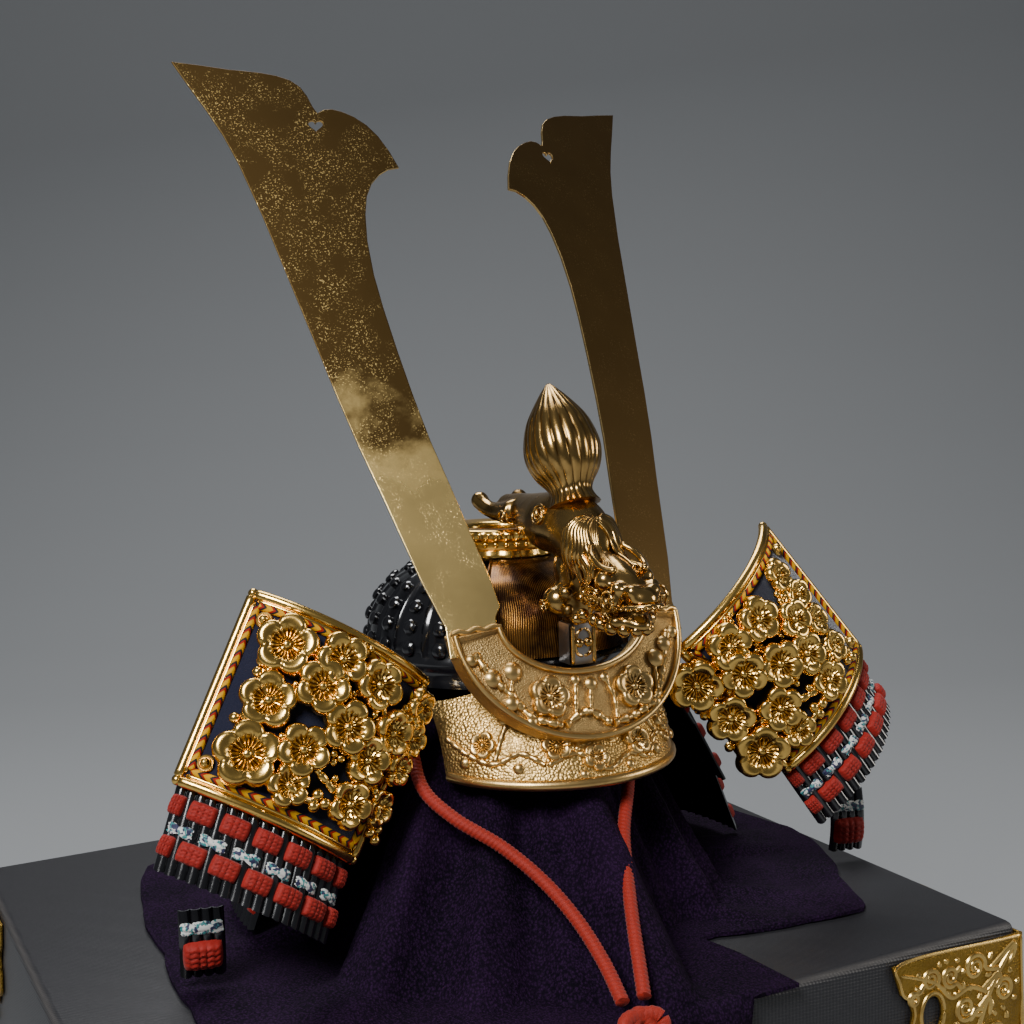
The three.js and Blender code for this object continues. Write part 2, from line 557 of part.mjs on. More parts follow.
// ---------------------------------------------------------------- horn holder and horns
const holderBend = (x) => (x * x) / (2 * HOLDER.bend);

function holderSurface(depth, rims) {
  return (u, v) => {
    const angle = rad(180 + 180 * u);
    const { half, drop, innerHalf, innerDrop } = HOLDER;
    const x = mix(innerHalf, half, v) * Math.cos(angle);
    const z = mix(innerDrop, drop, v) * Math.sin(angle);
    const raised = rims && (v < 0.09 || v > 0.91) ? HOLDER.rim : 0;
    return [x, holderBend(x) + depth - raised, z];
  };
}

// the room that the visor takes under the holder
function visorRoom() {
  const reach = VISOR_RELIEF + VISOR.thick / 2 + GAP;
  return slab(spread(-1, 1, 14), spread(-0.1, 1, 3), offsetFrom(visorSurface, -reach), offsetFrom(visorSurface, 14));
}

function hornHolder() {
  const rows = [0, 0.08, 0.1, 0.9, 0.92, 1];
  const body = slab(spread(0, 1, 16), rows, holderSurface(0, true), holderSurface(HOLDER.deep, false));
  const flowers = HOLDER_FLOWERS.map(({ x, z, r }) => relief(blossom(r, 1.2, false), x, z));
  const buds = HOLDER_BUDS.map(({ x, z, r }) => relief(boss(r, r * 0.55, 1.3, 5), x, z));
  const slots = ['left', 'right'].map((side) => hornSlot(side));
  const placed = joined(body, ...flowers, ...buds).rotateX(-rad(HOLDER.lean)).translate(0, HOLDER.y, 0);
  return without(placed, visorRoom(), ...slots);
}

const relief = (piece, x, z) => piece.rotateX(Math.PI / 2).translate(x, holderBend(x) + 0.2, z);

function hornSlot(side) {
  const { x, y, z, yaw, lean } = HORN_SEATS[side];
  const pocket = new THREE.BoxGeometry(16.6 + 2 * GAP, HORN.thick + 2 * GAP, HORN.slot + 6)
    .translate(-7.2, 0, -HORN.slot / 2 + 3);
  const seated = pocket.rotateX(-rad(lean)).rotateZ(rad(yaw)).translate(x, y, z);
  return side === 'left' ? mirrored(seated) : seated;
}

function hornPlate() {
  const outline = new THREE.Shape();
  const foot = [[-14.4, 2], [-14.4, -HORN.tongue], [-0.6, -HORN.tongue]];
  const points = [...HORN_OUTER, ...HORN_TOP, ...HORN_LOBE, ...HORN_INNER, ...foot];
  points.forEach(([x, z], i) => outline[i ? 'lineTo' : 'moveTo'](x, z));
  const heart = new THREE.Path();
  const { x, z, r } = HORN_HEART;
  heart.moveTo(x, z - r);
  for (const [dx, dz] of [[1, -0.1], [0.9, 0.7], [0.4, 0.9], [0, 0.4], [-0.4, 0.9], [-0.9, 0.7], [-1, -0.1]]) {
    heart.lineTo(x + dx * r, z + dz * r);
  }
  outline.holes.push(heart);
  return new THREE.ExtrudeGeometry(outline, { depth: HORN.thick, bevelEnabled: false })
    .rotateX(Math.PI / 2).translate(0, HORN.thick / 2, 0);
}

function horn(side) {
  const { x, y, z, yaw, lean } = HORN_SEATS[side];
  const flip = side === 'left' ? -1 : 1;
  const plate = flip < 0 ? mirrored(hornPlate()) : hornPlate();
  const piece = mesh(`horn_${side}`, plate, FINISH.hornGold);
  piece.rotation.set(-rad(lean), 0, flip * rad(yaw), 'ZYX');
  piece.position.set(flip * x, y, z);
  return piece;
}

// ---------------------------------------------------------------- crest
function crestPost() {
  const { wide, deep, top, bottom, front, rim } = POST;
  const body = new THREE.BoxGeometry(wide, deep, top - bottom).translate(0, front + deep / 2, (top + bottom) / 2);
  const channel = new THREE.BoxGeometry(wide - 2.4, deep, 2 * (top - bottom)).translate(0, front + deep / 2 + 1.4, 0);
  const rims = [-1, 1].map((s) => new THREE.BoxGeometry(1, rim + 1, top - bottom)
    .translate(s * (wide / 2 - 0.5), front, (top + bottom) / 2));
  const beads = [-1, 1].map((s) => ball({ x: s * 1.5, y: front, z: bottom + 6, rx: 1.3 }, 8, 5));
  return joined(without(body, channel), ...rims, ...beads);
}

function dragon() {
  const masses = DRAGON_MASSES.map((mass) => ball(mass, 8, 4));
  const knobs = DRAGON_KNOBS.flatMap(({ x, y, z, r }) => [-1, 1].map((s) => ball({ x: s * x, y, z, rx: r }, 5, 3)));
  const horns = [-1, 1].map((s) => tube([[s * 4.6, 24, 30], [s * 6, 33, 30], [s * 6.8, 40.5, 32.4]], 3, 5, 2));
  const { y, z, r, tall } = DRAGON_COLLAR;
  const collar = new THREE.CylinderGeometry(r, r * 1.15, tall, 8).rotateX(Math.PI / 2).translate(0, y, z);
  const clearPost = new THREE.BoxGeometry(POST.wide + 2, 20, 20).translate(0, -6, POST.top + GAP - 10);
  return without(joined(...masses, ...knobs, ...horns, collar), clearPost);
}

function jewel() {
  const count = JEWEL.flutes * 2;
  const surface = (index, row) => {
    const { r, z } = JEWEL_PROFILE[row];
    const reach = r * (index % 2 ? 1 - JEWEL.deep : 1);
    return [...polar((360 * index) / count, reach), z];
  };
  const inner = (index, row) => [...polar((360 * index) / count, 0.35), JEWEL_PROFILE[row].z];
  const rows = JEWEL_PROFILE.map((_, i) => i);
  const skin = slab(Array.from({ length: count }, (_, i) => i), rows, surface, inner, true);
  const core = new THREE.CylinderGeometry(0.5, 0.5, 33.4, 6).rotateX(Math.PI / 2).translate(0, 0, 16.7);
  const { y, z } = JEWEL.foot;
  return joined(skin, core).rotateX(-rad(JEWEL.lean)).translate(0, y, z);
}

// ---------------------------------------------------------------- wings
// a point on the wing: arc length from the fold, depth below the top edge, height over the face
function wingPoint(along, depth, over = 0) {
  const angle = along / WING.radius;
  const grow = 1 + ((WING.flare - 1) * depth) / WING.height;
  const r = WING.radius;
  return [r * Math.sin(angle) * grow + over * Math.sin(angle),
    r * (1 - Math.cos(angle)) * grow - over * Math.cos(angle), -depth];
}

const wingEnds = () => [WING.radius * rad(WING.from), WING.radius * rad(WING.to)];

function wingPanel() {
  const [start, end] = wingEnds();
  const inset = WING.rim + GAP;
  const face = (over) => (along, depth) => wingPoint(along, depth, over);
  const down = spread(inset, WING.height - inset, 1);
  return slab(spread(start + inset, end - inset, 8), down, face(0), face(-WING.thick));
}

function wingRim() {
  const [start, end] = wingEnds();
  const stations = [];
  for (const a of spread(start, end, 9)) stations.push([a, 0, 0, 1]);
  for (const a of spread(end, start, 9)) stations.push([a, WING.height, 0, -1]);
  const inward = (share) => (i, over) => {
    const [along, depth] = stations[i];
    const endSide = along === start ? 1 : along === end ? -1 : 0;
    const down = depth === 0 ? 1 : -1;
    return wingPoint(along + endSide * share * WING.rim, depth + down * share * WING.rim, over);
  };
  const outer = inward(0);
  const inner = inward(1);
  const half = WING.rimTall / 2;
  const overs = [half - 0.8, -half - 0.8];
  return slab(stations.map((_, i) => i), overs, outer, inner, true);
}

function sprayPoint(side, x, z, over) {
  const along = side === 'left' ? WING.across - x : x - WING.rightStart;
  return wingPoint(along, z, over);
}

function sprayNormal(side, x, z) {
  const low = new THREE.Vector3(...sprayPoint(side, x, z, 0));
  return new THREE.Vector3(...sprayPoint(side, x, z, 1)).sub(low);
}

function wingSpray(side) {
  const place = (piece, { x, z }, lift) =>
    stoodAt(piece, new THREE.Vector3(...sprayPoint(side, x, z, lift)), sprayNormal(side, x, z));
  const flowers = SPRAY.map((f, i) => place(blossom(f.r, 2.2, f.r > 7.5), f, SPRAY_LIFT + (i % 3) * 0.7));
  const buds = SPRAY_BUDS.map((b) => place(boss(b.r, b.r * 0.6, 3, 5, 0), b, SPRAY_LIFT));
  const all = [...SPRAY, ...SPRAY_BUDS];
  const stems = SPRAY_STEMS.map(([a, b]) => {
    const ends = [all[a], all[b]].map((f) => sprayPoint(side, f.x, f.z, SPRAY_LIFT + 1.2));
    return tube(ends, 1.2, 3, 1);
  });
  return joined(...flowers, ...buds, ...stems);
}

function wingRivet(side, { x, z }) {
  const along = WING.radius * rad(WING.to) - x;
  const at = new THREE.Vector3(...wingPoint(along, z, GAP));
  const out = new THREE.Vector3(...wingPoint(along, z, 1)).sub(new THREE.Vector3(...wingPoint(along, z, 0)));
  const dome = joined(boss(2.6, 2.6, 0.6, 7, 0), boss(1.7, 1, 1.7, 7, 0));
  return stoodAt(dome, at, out);
}

// the laced flap that hangs below the wing, turned back from the next lame down
function wingFlap() {
  const [start, end] = wingEnds();
  const surface = (over) => (along, row) => {
    if (row === 0) return wingPoint(along, WING.height * FLAP.top, over - FLAP.behind);
    const [x, y, z] = wingPoint(along, WING.height, over - FLAP.behind);
    const { drop } = FLAP;
    return row === 1 ? [x, y, z] : [x + drop.x, y + drop.y, z + drop.z];
  };
  return slab(spread(start + 3, end, 9), [0, 1, 2], surface(FLAP.thick / 2), surface(-FLAP.thick / 2));
}

function wing(side) {
  const group = new THREE.Group();
  const flip = side === 'left' ? -1 : 1;
  const own = (geometry) => (flip < 0 ? mirrored(geometry) : geometry);
  group.add(mesh(`wing_panel_${side}`, own(wingPanel()), FINISH.felt));
  group.add(mesh(`wing_rim_${side}`, own(wingRim()), FINISH.brass));
  group.add(mesh(`wing_spray_${side}`, own(wingSpray(side)), FINISH.castGold));
  group.add(mesh(`wing_flap_${side}`, own(wingFlap()), FINISH.lacquer));
  RIVETS.forEach((rivet, i) => {
    group.add(mesh(`wing_rivet_${side}_${i + 1}`, own(wingRivet(side, rivet)), FINISH.brass));
  });
  const seat = WING_SEATS[side];
  group.position.set(flip * seat.x, seat.y, seat.z);
  group.rotation.set(rad(seat.pitch), flip * rad(seat.roll), flip * rad(seat.turn), 'ZXY');
  return group;
}

// ---------------------------------------------------------------- neck guard
function neckLame({ top, low, front }) {
  const cone = (angle, down) => [...polar(angle, mix(top.r, low.r, down), BOWL.y), mix(top.z, low.z, down)];
  return wall(spread(-front, 180 + front, 22), [0, 1], cone, LAME_WALL);
}

function lameTip(side) {
  const { x, y, z, wide, tall, turn } = TIPS[side];
  const surface = (over) => (across, down) =>
    [across * wide, over + 1.6 * Math.sin(Math.PI * down), -down * tall * (1 - 0.12 * Math.abs(across))];
  const tab = slab(spread(-0.5, 0.5, 2), spread(0, 1, 4), surface(-0.7), surface(0.7))
    .rotateZ(rad(turn)).translate(x, y, z);
  return side === 'left' ? mirrored(tab) : tab;
}

// ---------------------------------------------------------------- chin cords
function bowLoop(flip) {
  const { reach, drop, spread: gap, y } = LOOP;
  const top = KNOT.z - KNOT.rz * 0.3;
  const side = KNOT.x + flip * (KNOT.rx + 1.2);
  return [[side, KNOT.y - 0.4, top], [side + flip * reach * 0.3, y - 1, top - 4], [side + flip * reach * 0.62, y, top - 14],
    [side + flip * reach * 0.66, y, top - drop * 0.7], [side + flip * reach * 0.4, y, top - drop],
    [side + flip * reach * 0.12, y, top - drop * 0.72], [side + flip * 1.5 - flip * gap * 0.2, y, top - 14],
    [side - flip * 2.6, KNOT.y - 0.6, top - 6.6]];
}

function cordTail(flip) {
  const { reach, drop, y } = TAIL;
  const x = KNOT.x + flip * 2.6;
  const top = KNOT.z - KNOT.rz - GAP - 0.6;
  return [[x, KNOT.y, top], [x + flip * 0.6, y + 0.2, top - 8], [x + flip * reach * 0.5, y, top - drop * 0.4],
    [x + flip * reach * 0.9, y, top - drop * 0.72], [x + flip * reach, y, top - drop]];
}

function cords() {
  const { radius, sides } = CORD;
  const pieces = [
    mesh('chin_cord_left', tube(CORD_LEFT, radius, sides, 11), FINISH.redCord),
    mesh('chin_cord_right', tube(CORD_RIGHT, radius, sides, 11), FINISH.redCord),
    mesh('chin_knot', ball({ ...KNOT }, 12, 8), FINISH.redCord),
  ];
  for (const [side, flip] of [['left', -1], ['right', 1]]) {
    pieces.push(mesh(`bow_loop_${side}`, tube(bowLoop(flip), radius, sides, 13), FINISH.redCord));
    const tail = cordTail(flip);
    pieces.push(mesh(`cord_tail_${side}`, tube(tail, radius, sides, 8), FINISH.redCord));
    const [x, y, z] = tail[tail.length - 1];
    const end = ball({ x, y, z: z - TAIL.end - GAP, rx: TAIL.end }, 8, 6);
    pieces.push(mesh(`tail_knot_${side}`, end, FINISH.redCord));
  }
  return pieces;
}

// ---------------------------------------------------------------- assembly
const helmet = new THREE.Group();
helmet.position.set(HELMET.x, HELMET.y, HELMET.z);
helmet.add(mesh('stand_post', stand(), FINISH.wood));
helmet.add(mesh('drape_cloth', cloth(), FINISH.crepe));
helmet.add(mesh('helmet_bowl', bowl(), FINISH.lacquer));
helmet.add(mesh('crown_ring', crownRing(), FINISH.castGold));
helmet.add(mesh('front_plate', facePlate(), FINISH.amber));
helmet.add(mesh('visor', visor(), FINISH.paleGilt));
helmet.add(mesh('horn_holder', hornHolder(), FINISH.paleGilt));
helmet.add(horn('left'), horn('right'));
helmet.add(mesh('crest_post', crestPost(), FINISH.paleGilt));
helmet.add(mesh('dragon_head', dragon(), FINISH.castGold));
helmet.add(mesh('flame_jewel', jewel(), FINISH.castGold));
helmet.add(wing('left'), wing('right'));
for (const lame of LAMES) helmet.add(mesh(lame.name, neckLame(lame), FINISH.lacquer));
for (const side of ['left', 'right']) helmet.add(mesh(`lame_tip_${side}`, lameTip(side), FINISH.lacquer));
helmet.add(...cords());

const part = new THREE.Group();
part.add(mesh('chest_body', chestBody(), FINISH.leatherette));
part.add(mesh('chest_lid', chestLid(), FINISH.leatherette));
part.add(...cornerPlates());
part.add(helmet);

export default part;
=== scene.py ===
"""A display samurai helmet on its armour chest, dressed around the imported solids.

Sizes are millimetres in the helmet's own frame (facing -Y, +Z up) unless a name says otherwise.
The Seat turns them into metres in the shared frame.
"""

from __future__ import annotations

import logging
import math
from dataclasses import dataclass
from enum import Enum
from typing import Callable, Iterable, Sequence

import bpy
import numpy as np
from mathutils import Matrix, Vector


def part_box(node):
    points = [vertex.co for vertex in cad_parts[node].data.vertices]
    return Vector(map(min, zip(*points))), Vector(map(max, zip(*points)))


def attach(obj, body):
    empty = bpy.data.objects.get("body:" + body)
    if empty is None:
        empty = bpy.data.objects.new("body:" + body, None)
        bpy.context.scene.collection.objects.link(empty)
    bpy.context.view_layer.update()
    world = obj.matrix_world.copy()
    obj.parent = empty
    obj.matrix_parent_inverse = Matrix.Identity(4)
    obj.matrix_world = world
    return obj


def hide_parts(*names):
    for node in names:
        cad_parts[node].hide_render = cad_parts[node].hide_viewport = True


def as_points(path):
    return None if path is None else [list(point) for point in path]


LOG = logging.getLogger("kabuto")
MM = 0.001
BODY = "root"
Surface = Callable[[np.ndarray, np.ndarray], np.ndarray]
Rows = Sequence[Sequence[float]]


# ------------------------------------------------------------------ small maths
def smooth(low: float, high: float, value: np.ndarray) -> np.ndarray:
    """A smooth step from 0 at low to 1 at high."""
    share = np.clip((value - low) / (high - low), 0.0, 1.0)
    return share * share * (3.0 - 2.0 * share)


def stack(*columns: np.ndarray) -> np.ndarray:
    """Coordinates side by side as an array of points."""
    return np.stack(np.broadcast_arrays(*columns), axis=-1)


def ripple(points: np.ndarray, size: float, seed: float) -> np.ndarray:
    """A cheap smooth unevenness of about -1 to 1, from a few crossed waves.

    Args:
        points: The points.
        size: The length of a wave.
        seed: What shifts the waves.

    Returns:
        The unevenness at each point.
    """
    p = points / size
    a = np.sin(p[..., 0] * 1.7 + seed) * np.cos(p[..., 1] * 1.3 - seed * 2.1)
    b = np.sin(p[..., 1] * 2.3 + p[..., 2] * 1.9 + seed * 0.7)
    c = np.cos(p[..., 0] * 2.9 - p[..., 2] * 2.2 + seed * 1.9)
    return (a + 0.6 * b + 0.4 * c) / 2.0


def turn(axis: str, degrees: float) -> np.ndarray:
    """A rotation matrix about one axis."""
    return np.array(Matrix.Rotation(math.radians(degrees), 3, axis))


def curve_through(points: Rows, spacing: float) -> np.ndarray:
    """An even run of points along a centripetal curve through the given ones.

    Args:
        points: The places that the curve passes.
        spacing: The distance between the points that come back.

    Returns:
        The points along the curve.
    """
    p = np.array(points, float)
    p = np.vstack([2 * p[0] - p[1], p, 2 * p[-1] - p[-2]])
    dense = []
    for a, b, c, d in zip(p, p[1:], p[2:], p[3:]):
        t0, t1 = 0.0, np.linalg.norm(b - a) ** 0.5
        t2 = t1 + np.linalg.norm(c - b) ** 0.5
        t3 = t2 + np.linalg.norm(d - c) ** 0.5
        t = np.linspace(t1, t2, 24, endpoint=False)[:, None]
        ab = (t1 - t) / (t1 - t0) * a + (t - t0) / (t1 - t0) * b
        bc = (t2 - t) / (t2 - t1) * b + (t - t1) / (t2 - t1) * c
        cd = (t3 - t) / (t3 - t2) * c + (t - t2) / (t3 - t2) * d
        abc = (t2 - t) / (t2 - t0) * ab + (t - t0) / (t2 - t0) * bc
        bcd = (t3 - t) / (t3 - t1) * bc + (t - t1) / (t3 - t1) * cd
        dense.append((t2 - t) / (t2 - t1) * abc + (t - t1) / (t2 - t1) * bcd)
    line = np.vstack([*dense, p[-2][None]])
    along = np.concatenate([[0.0], np.cumsum(np.linalg.norm(np.diff(line, axis=0), axis=1))])
    wanted = np.linspace(0.0, along[-1], max(3, int(round(along[-1] / spacing)) + 1))
    return np.stack([np.interp(wanted, along, line[:, k]) for k in range(3)], axis=1)


def frames_along(line: np.ndarray, facing: Sequence[float] = (0, -1, 0)) -> tuple[np.ndarray, np.ndarray]:
    """Two directions across a line at each of its points, carried along without twist.

    Args:
        line: The points of the line.
        facing: The direction that the first one starts from.

    Returns:
        The first and second direction at each point.
    """
    tangent = np.gradient(line, axis=0)
    tangent /= np.linalg.norm(tangent, axis=1, keepdims=True)
    first = np.zeros_like(line)
    side = np.array(facing, float)
    for i, t in enumerate(tangent):
        side = side - np.dot(side, t) * t
        side /= np.linalg.norm(side)
        first[i] = side
    return first, np.cross(tangent, first)


# ------------------------------------------------------------------ shared modelling moves
@dataclass(frozen=True)
class Seat:
    """Where the helmet's own frame sits in the shared one, in metres."""

    origin: tuple[float, float, float]

    @classmethod
    def from_frame(cls) -> "Seat":
        """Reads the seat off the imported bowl, whose axis is 40 mm behind the frame's origin."""
        low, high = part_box("helmet_bowl")
        return cls(((low.x + high.x) / 2, (low.y + high.y) / 2 - 40 * MM, high.z - 14 * MM))

    def world(self, points: np.ndarray) -> np.ndarray:
        """Millimetres in the helmet's frame to metres in the shared one."""
        return np.asarray(points, float) * MM + np.array(self.origin)

    def helmet(self, points: np.ndarray) -> np.ndarray:
        """Metres in the shared frame to millimetres in the helmet's."""
        return (np.asarray(points, float) - np.array(self.origin)) / MM


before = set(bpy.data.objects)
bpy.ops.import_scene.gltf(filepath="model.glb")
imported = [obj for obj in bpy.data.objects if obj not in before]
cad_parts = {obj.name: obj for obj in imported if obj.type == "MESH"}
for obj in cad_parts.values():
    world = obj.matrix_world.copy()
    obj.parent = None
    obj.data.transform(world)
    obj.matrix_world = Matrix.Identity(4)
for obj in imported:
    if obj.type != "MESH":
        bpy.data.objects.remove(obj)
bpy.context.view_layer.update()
SEAT = Seat.from_frame()


class Bench:
    """Primitives, edit-mode operators, modifiers and copies that every piece is made with."""

    @staticmethod
    def clear() -> None:
        """Leaves edit mode and selects nothing."""
        if bpy.context.object and bpy.context.object.mode != "OBJECT":
            bpy.ops.object.mode_set(mode="OBJECT")
        bpy.ops.object.select_all(action="DESELECT")

    @staticmethod
    def pick(obj: bpy.types.Object) -> None:
        """Selects one object and makes it active.

        Args:
            obj: The object.
        """
        Bench.clear()
        obj.select_set(True)
        bpy.context.view_layer.objects.active = obj

    @staticmethod
    def primitive(kind: str, name: str, **sizes: object) -> bpy.types.Object:
        """Adds a mesh primitive.

        Args:
            kind: The middle of the operator's name, such as cube or uv_sphere.
            name: The new object's name.
            **sizes: The operator's own arguments.

        Returns:
            The new object, active and selected.
        """
        Bench.clear()
        getattr(bpy.ops.mesh, f"primitive_{kind}_add")(**sizes)
        bpy.context.object.name = name
        return bpy.context.object

    @staticmethod
    def points(obj: bpy.types.Object) -> np.ndarray:
        """The vertices of a mesh object.

        Args:
            obj: The object.

        Returns:
            The vertices, one row each.
        """
        co = np.zeros(len(obj.data.vertices) * 3)
        obj.data.vertices.foreach_get("co", co)
        return co.reshape(-1, 3)

    @staticmethod
    def move(obj: bpy.types.Object, points: np.ndarray) -> bpy.types.Object:
        """Sets the vertices of a mesh object.

        Args:
            obj: The object.
            points: Its new vertices.

        Returns:
            The same object.
        """
        obj.data.vertices.foreach_set("co", np.ascontiguousarray(points, float).ravel())
        obj.data.update()
        return obj

    @staticmethod
    def edit(obj: bpy.types.Object, *steps: tuple[str, dict]) -> bpy.types.Object:
        """Runs mesh operators on everything in the object, in order.

        Args:
            obj: The object to edit.
            *steps: Each operator's name and its arguments.

        Returns:
            The same object.
        """
        Bench.pick(obj)
        bpy.ops.object.mode_set(mode="EDIT")
        bpy.ops.mesh.select_all(action="SELECT")
        for name, settings in steps:
            getattr(bpy.ops.mesh, name)(**settings)
        bpy.ops.object.mode_set(mode="OBJECT")
        return obj

    @staticmethod
    def outward(obj: bpy.types.Object) -> bpy.types.Object:
        """Merges doubles and turns a closed mesh's faces outward."""
        doubles = ("remove_doubles", {"threshold": 1e-6})
        return Bench.edit(obj, doubles, ("normals_make_consistent", {"inside": False}))

    @staticmethod
    def modify(obj: bpy.types.Object, kind: str, **settings: object) -> bpy.types.Object:
        """Adds a modifier, sets it and applies it.

        Args:
            obj: The object to change.
            kind: The modifier's type, such as SOLIDIFY.
            **settings: The modifier's own settings.

        Returns:
            The same object.
        """
        Bench.pick(obj)
        modifier = obj.modifiers.new(kind.title(), kind)
        for key, value in settings.items():
            setattr(modifier, key, value)
        bpy.ops.object.modifier_apply(modifier=modifier.name)
        return obj

    @staticmethod
    def delete_face(obj: bpy.types.Object, index: int) -> bpy.types.Object:
        """Takes one face out of a mesh and leaves its edges.

        Args:
            obj: The object.
            index: The face's number.

        Returns:
            The same object.
        """
        Bench.pick(obj)
        bpy.ops.object.mode_set(mode="EDIT")
        bpy.ops.mesh.select_all(action="DESELECT")
        bpy.ops.mesh.select_mode(type="FACE")
        bpy.ops.object.mode_set(mode="OBJECT")
        obj.data.polygons[index].select = True
        bpy.ops.object.mode_set(mode="EDIT")
        bpy.ops.mesh.delete(type="ONLY_FACE")
        bpy.ops.mesh.select_mode(type="VERT")
        bpy.ops.object.mode_set(mode="OBJECT")
        return obj

    @staticmethod
    def scale_uv(obj: bpy.types.Object, across: float, along: float) -> bpy.types.Object:
        """Stretches a piece's UV map, so that it counts in millimetres.

        Args:
            obj: The object.
            across: Millimetres across the map.
            along: Millimetres along it.

        Returns:
            The same object.
        """
        uv = np.zeros(len(obj.data.loops) * 2)
        obj.data.uv_layers[0].data.foreach_get("uv", uv)
        obj.data.uv_layers[0].data.foreach_set("uv", uv * np.tile([across, along], len(uv) // 2))
        return obj

    @staticmethod
    def wall(obj: bpy.types.Object, thick: float, offset: float = 0.0) -> bpy.types.Object:
        """Gives a sheet its thickness in millimetres."""
        return Bench.modify(obj, "SOLIDIFY", thickness=thick * MM, offset=offset, use_even_offset=False)

    @staticmethod
    def smooth(obj: bpy.types.Object, angle: float = 35.0) -> bpy.types.Object:
        """Shades a piece smooth up to an angle in degrees.

        Args:
            obj: The object.
            angle: The angle in degrees.

        Returns:
            The same object.
        """
        Bench.pick(obj)
        bpy.ops.object.shade_smooth_by_angle(angle=math.radians(angle))
        return obj

    @staticmethod
    def grid(name: str, surface: Surface, columns: int, rows: int, seat: bool = True) -> bpy.types.Object:
        """A grid primitive bent to a surface given over u and v from 0 to 1.

        Args:
            name: The new object's name.
            surface: Gives the points, in the helmet's frame where seat is true.
            columns: Cells along u.
            rows: Cells along v.
            seat: Whether to carry the points to the shared frame.

        Returns:
            The bent grid, with u and v as its UV map.
        """
        obj = Bench.primitive("grid", name, x_subdivisions=columns, y_subdivisions=rows, size=1.0)
        co = Bench.points(obj)
        bent = surface(co[:, 0] + 0.5, co[:, 1] + 0.5)
        return Bench.move(obj, SEAT.world(bent) if seat else bent)

    @staticmethod
    def shell(name: str, surface: Surface, columns: int, rows: int, seat: bool = True) -> bpy.types.Object:
        """A grid whose edges meet, merged into one closed body with its faces outward."""
        return Bench.outward(Bench.grid(name, surface, columns, rows, seat))

    @staticmethod
    def tube(name: str, line: np.ndarray, radius: Callable[[np.ndarray, np.ndarray], np.ndarray] | float,
             around: int = 12, facing: Sequence[float] = (0, -1, 0), flat: float = 1.0,
             seat: bool = True) -> bpy.types.Object:
        """A closed tube along a line, with round ends.

        Args:
            name: The new object's name.
            line: The middle line's points.
            radius: The radius, or a function of the share round (0 to 1) and the length along.
            around: Cells round the tube.
            facing: The direction that the seamless side starts from.
            flat: The tube's thickness towards facing, as a share of its width.
            seat: Whether to carry the points to the shared frame.

        Returns:
            The tube.
        """
        first, second = frames_along(line, facing)
        along = np.concatenate([[0.0], np.cumsum(np.linalg.norm(np.diff(line, axis=0), axis=1))])
        last = len(line) - 1

        def surface(u: np.ndarray, v: np.ndarray) -> np.ndarray:
            """The tube's skin, closed to a point at both ends.

            Args:
                u: The share across or round, from 0 to 1.
                v: The share along or down, from 0 to 1.

            Returns:
                The points.
            """
            index = np.rint(v * last).astype(int)
            reach = radius(u, along[index]) if callable(radius) else np.full_like(u, radius)
            ends = np.where((index == 0) | (index == last), 0.0, 1.0)
            angle = 2 * np.pi * u
            across = first[index] * (np.cos(angle) * flat)[:, None] + second[index] * np.sin(angle)[:, None]
            return line[index] + across * (reach * ends)[:, None]

        return Bench.shell(name, surface, around, last, seat)

    @staticmethod
    def copies(name: str, source: bpy.types.Object, places: Iterable[np.ndarray],
               drop_source: bool = True) -> bpy.types.Object:
        """One object that holds a copy of a mesh at each place.

        Args:
            name: The new object's name.
            source: The piece modelled once, around its own origin.
            places: A 4 by 4 matrix for each copy.
            drop_source: Whether the source is removed afterwards.

        Returns:
            The new object, with the source's UV map and smooth faces.
        """
        co = Bench.points(source)
        mesh = source.data
        faces = [list(p.vertices) for p in mesh.polygons]
        ones = np.hstack([co, np.ones((len(co), 1))])
        points, polygons = [], []
        places = list(places)
        for k, place in enumerate(places):
            points.append((ones @ np.asarray(place).T)[:, :3])
            flip = np.linalg.det(np.asarray(place)[:3, :3]) < 0
            shift = k * len(co)
            polygons += [[i + shift for i in (reversed(f) if flip else f)] for f in faces]
        made = bpy.data.meshes.new(name)
        made.from_pydata(np.vstack(points).tolist(), [], polygons)
        if mesh.uv_layers:
            uv = np.zeros(len(mesh.loops) * 2)
            mesh.uv_layers[0].data.foreach_get("uv", uv)
            made.uv_layers.new(name="UVMap")
            made.uv_layers[0].data.foreach_set("uv", np.tile(uv, len(places)))
        made.polygons.foreach_set("use_smooth", [True] * len(made.polygons))
        made.update()
        obj = bpy.data.objects.new(name, made)
        bpy.context.scene.collection.objects.link(obj)
        if drop_source:
            bpy.data.objects.remove(source)
        return obj

    @staticmethod
    def join(name: str, pieces: Sequence[bpy.types.Object]) -> bpy.types.Object:
        """Joins pieces into one object.

        Args:
            name: The new name.
            pieces: The pieces, of which the first stays.

        Returns:
            The joined object.
        """
        Bench.clear()
        for piece in pieces:
            piece.select_set(True)
        bpy.context.view_layer.objects.active = pieces[0]
        if len(pieces) > 1:
            bpy.ops.object.join()
        pieces[0].name = name
        return pieces[0]

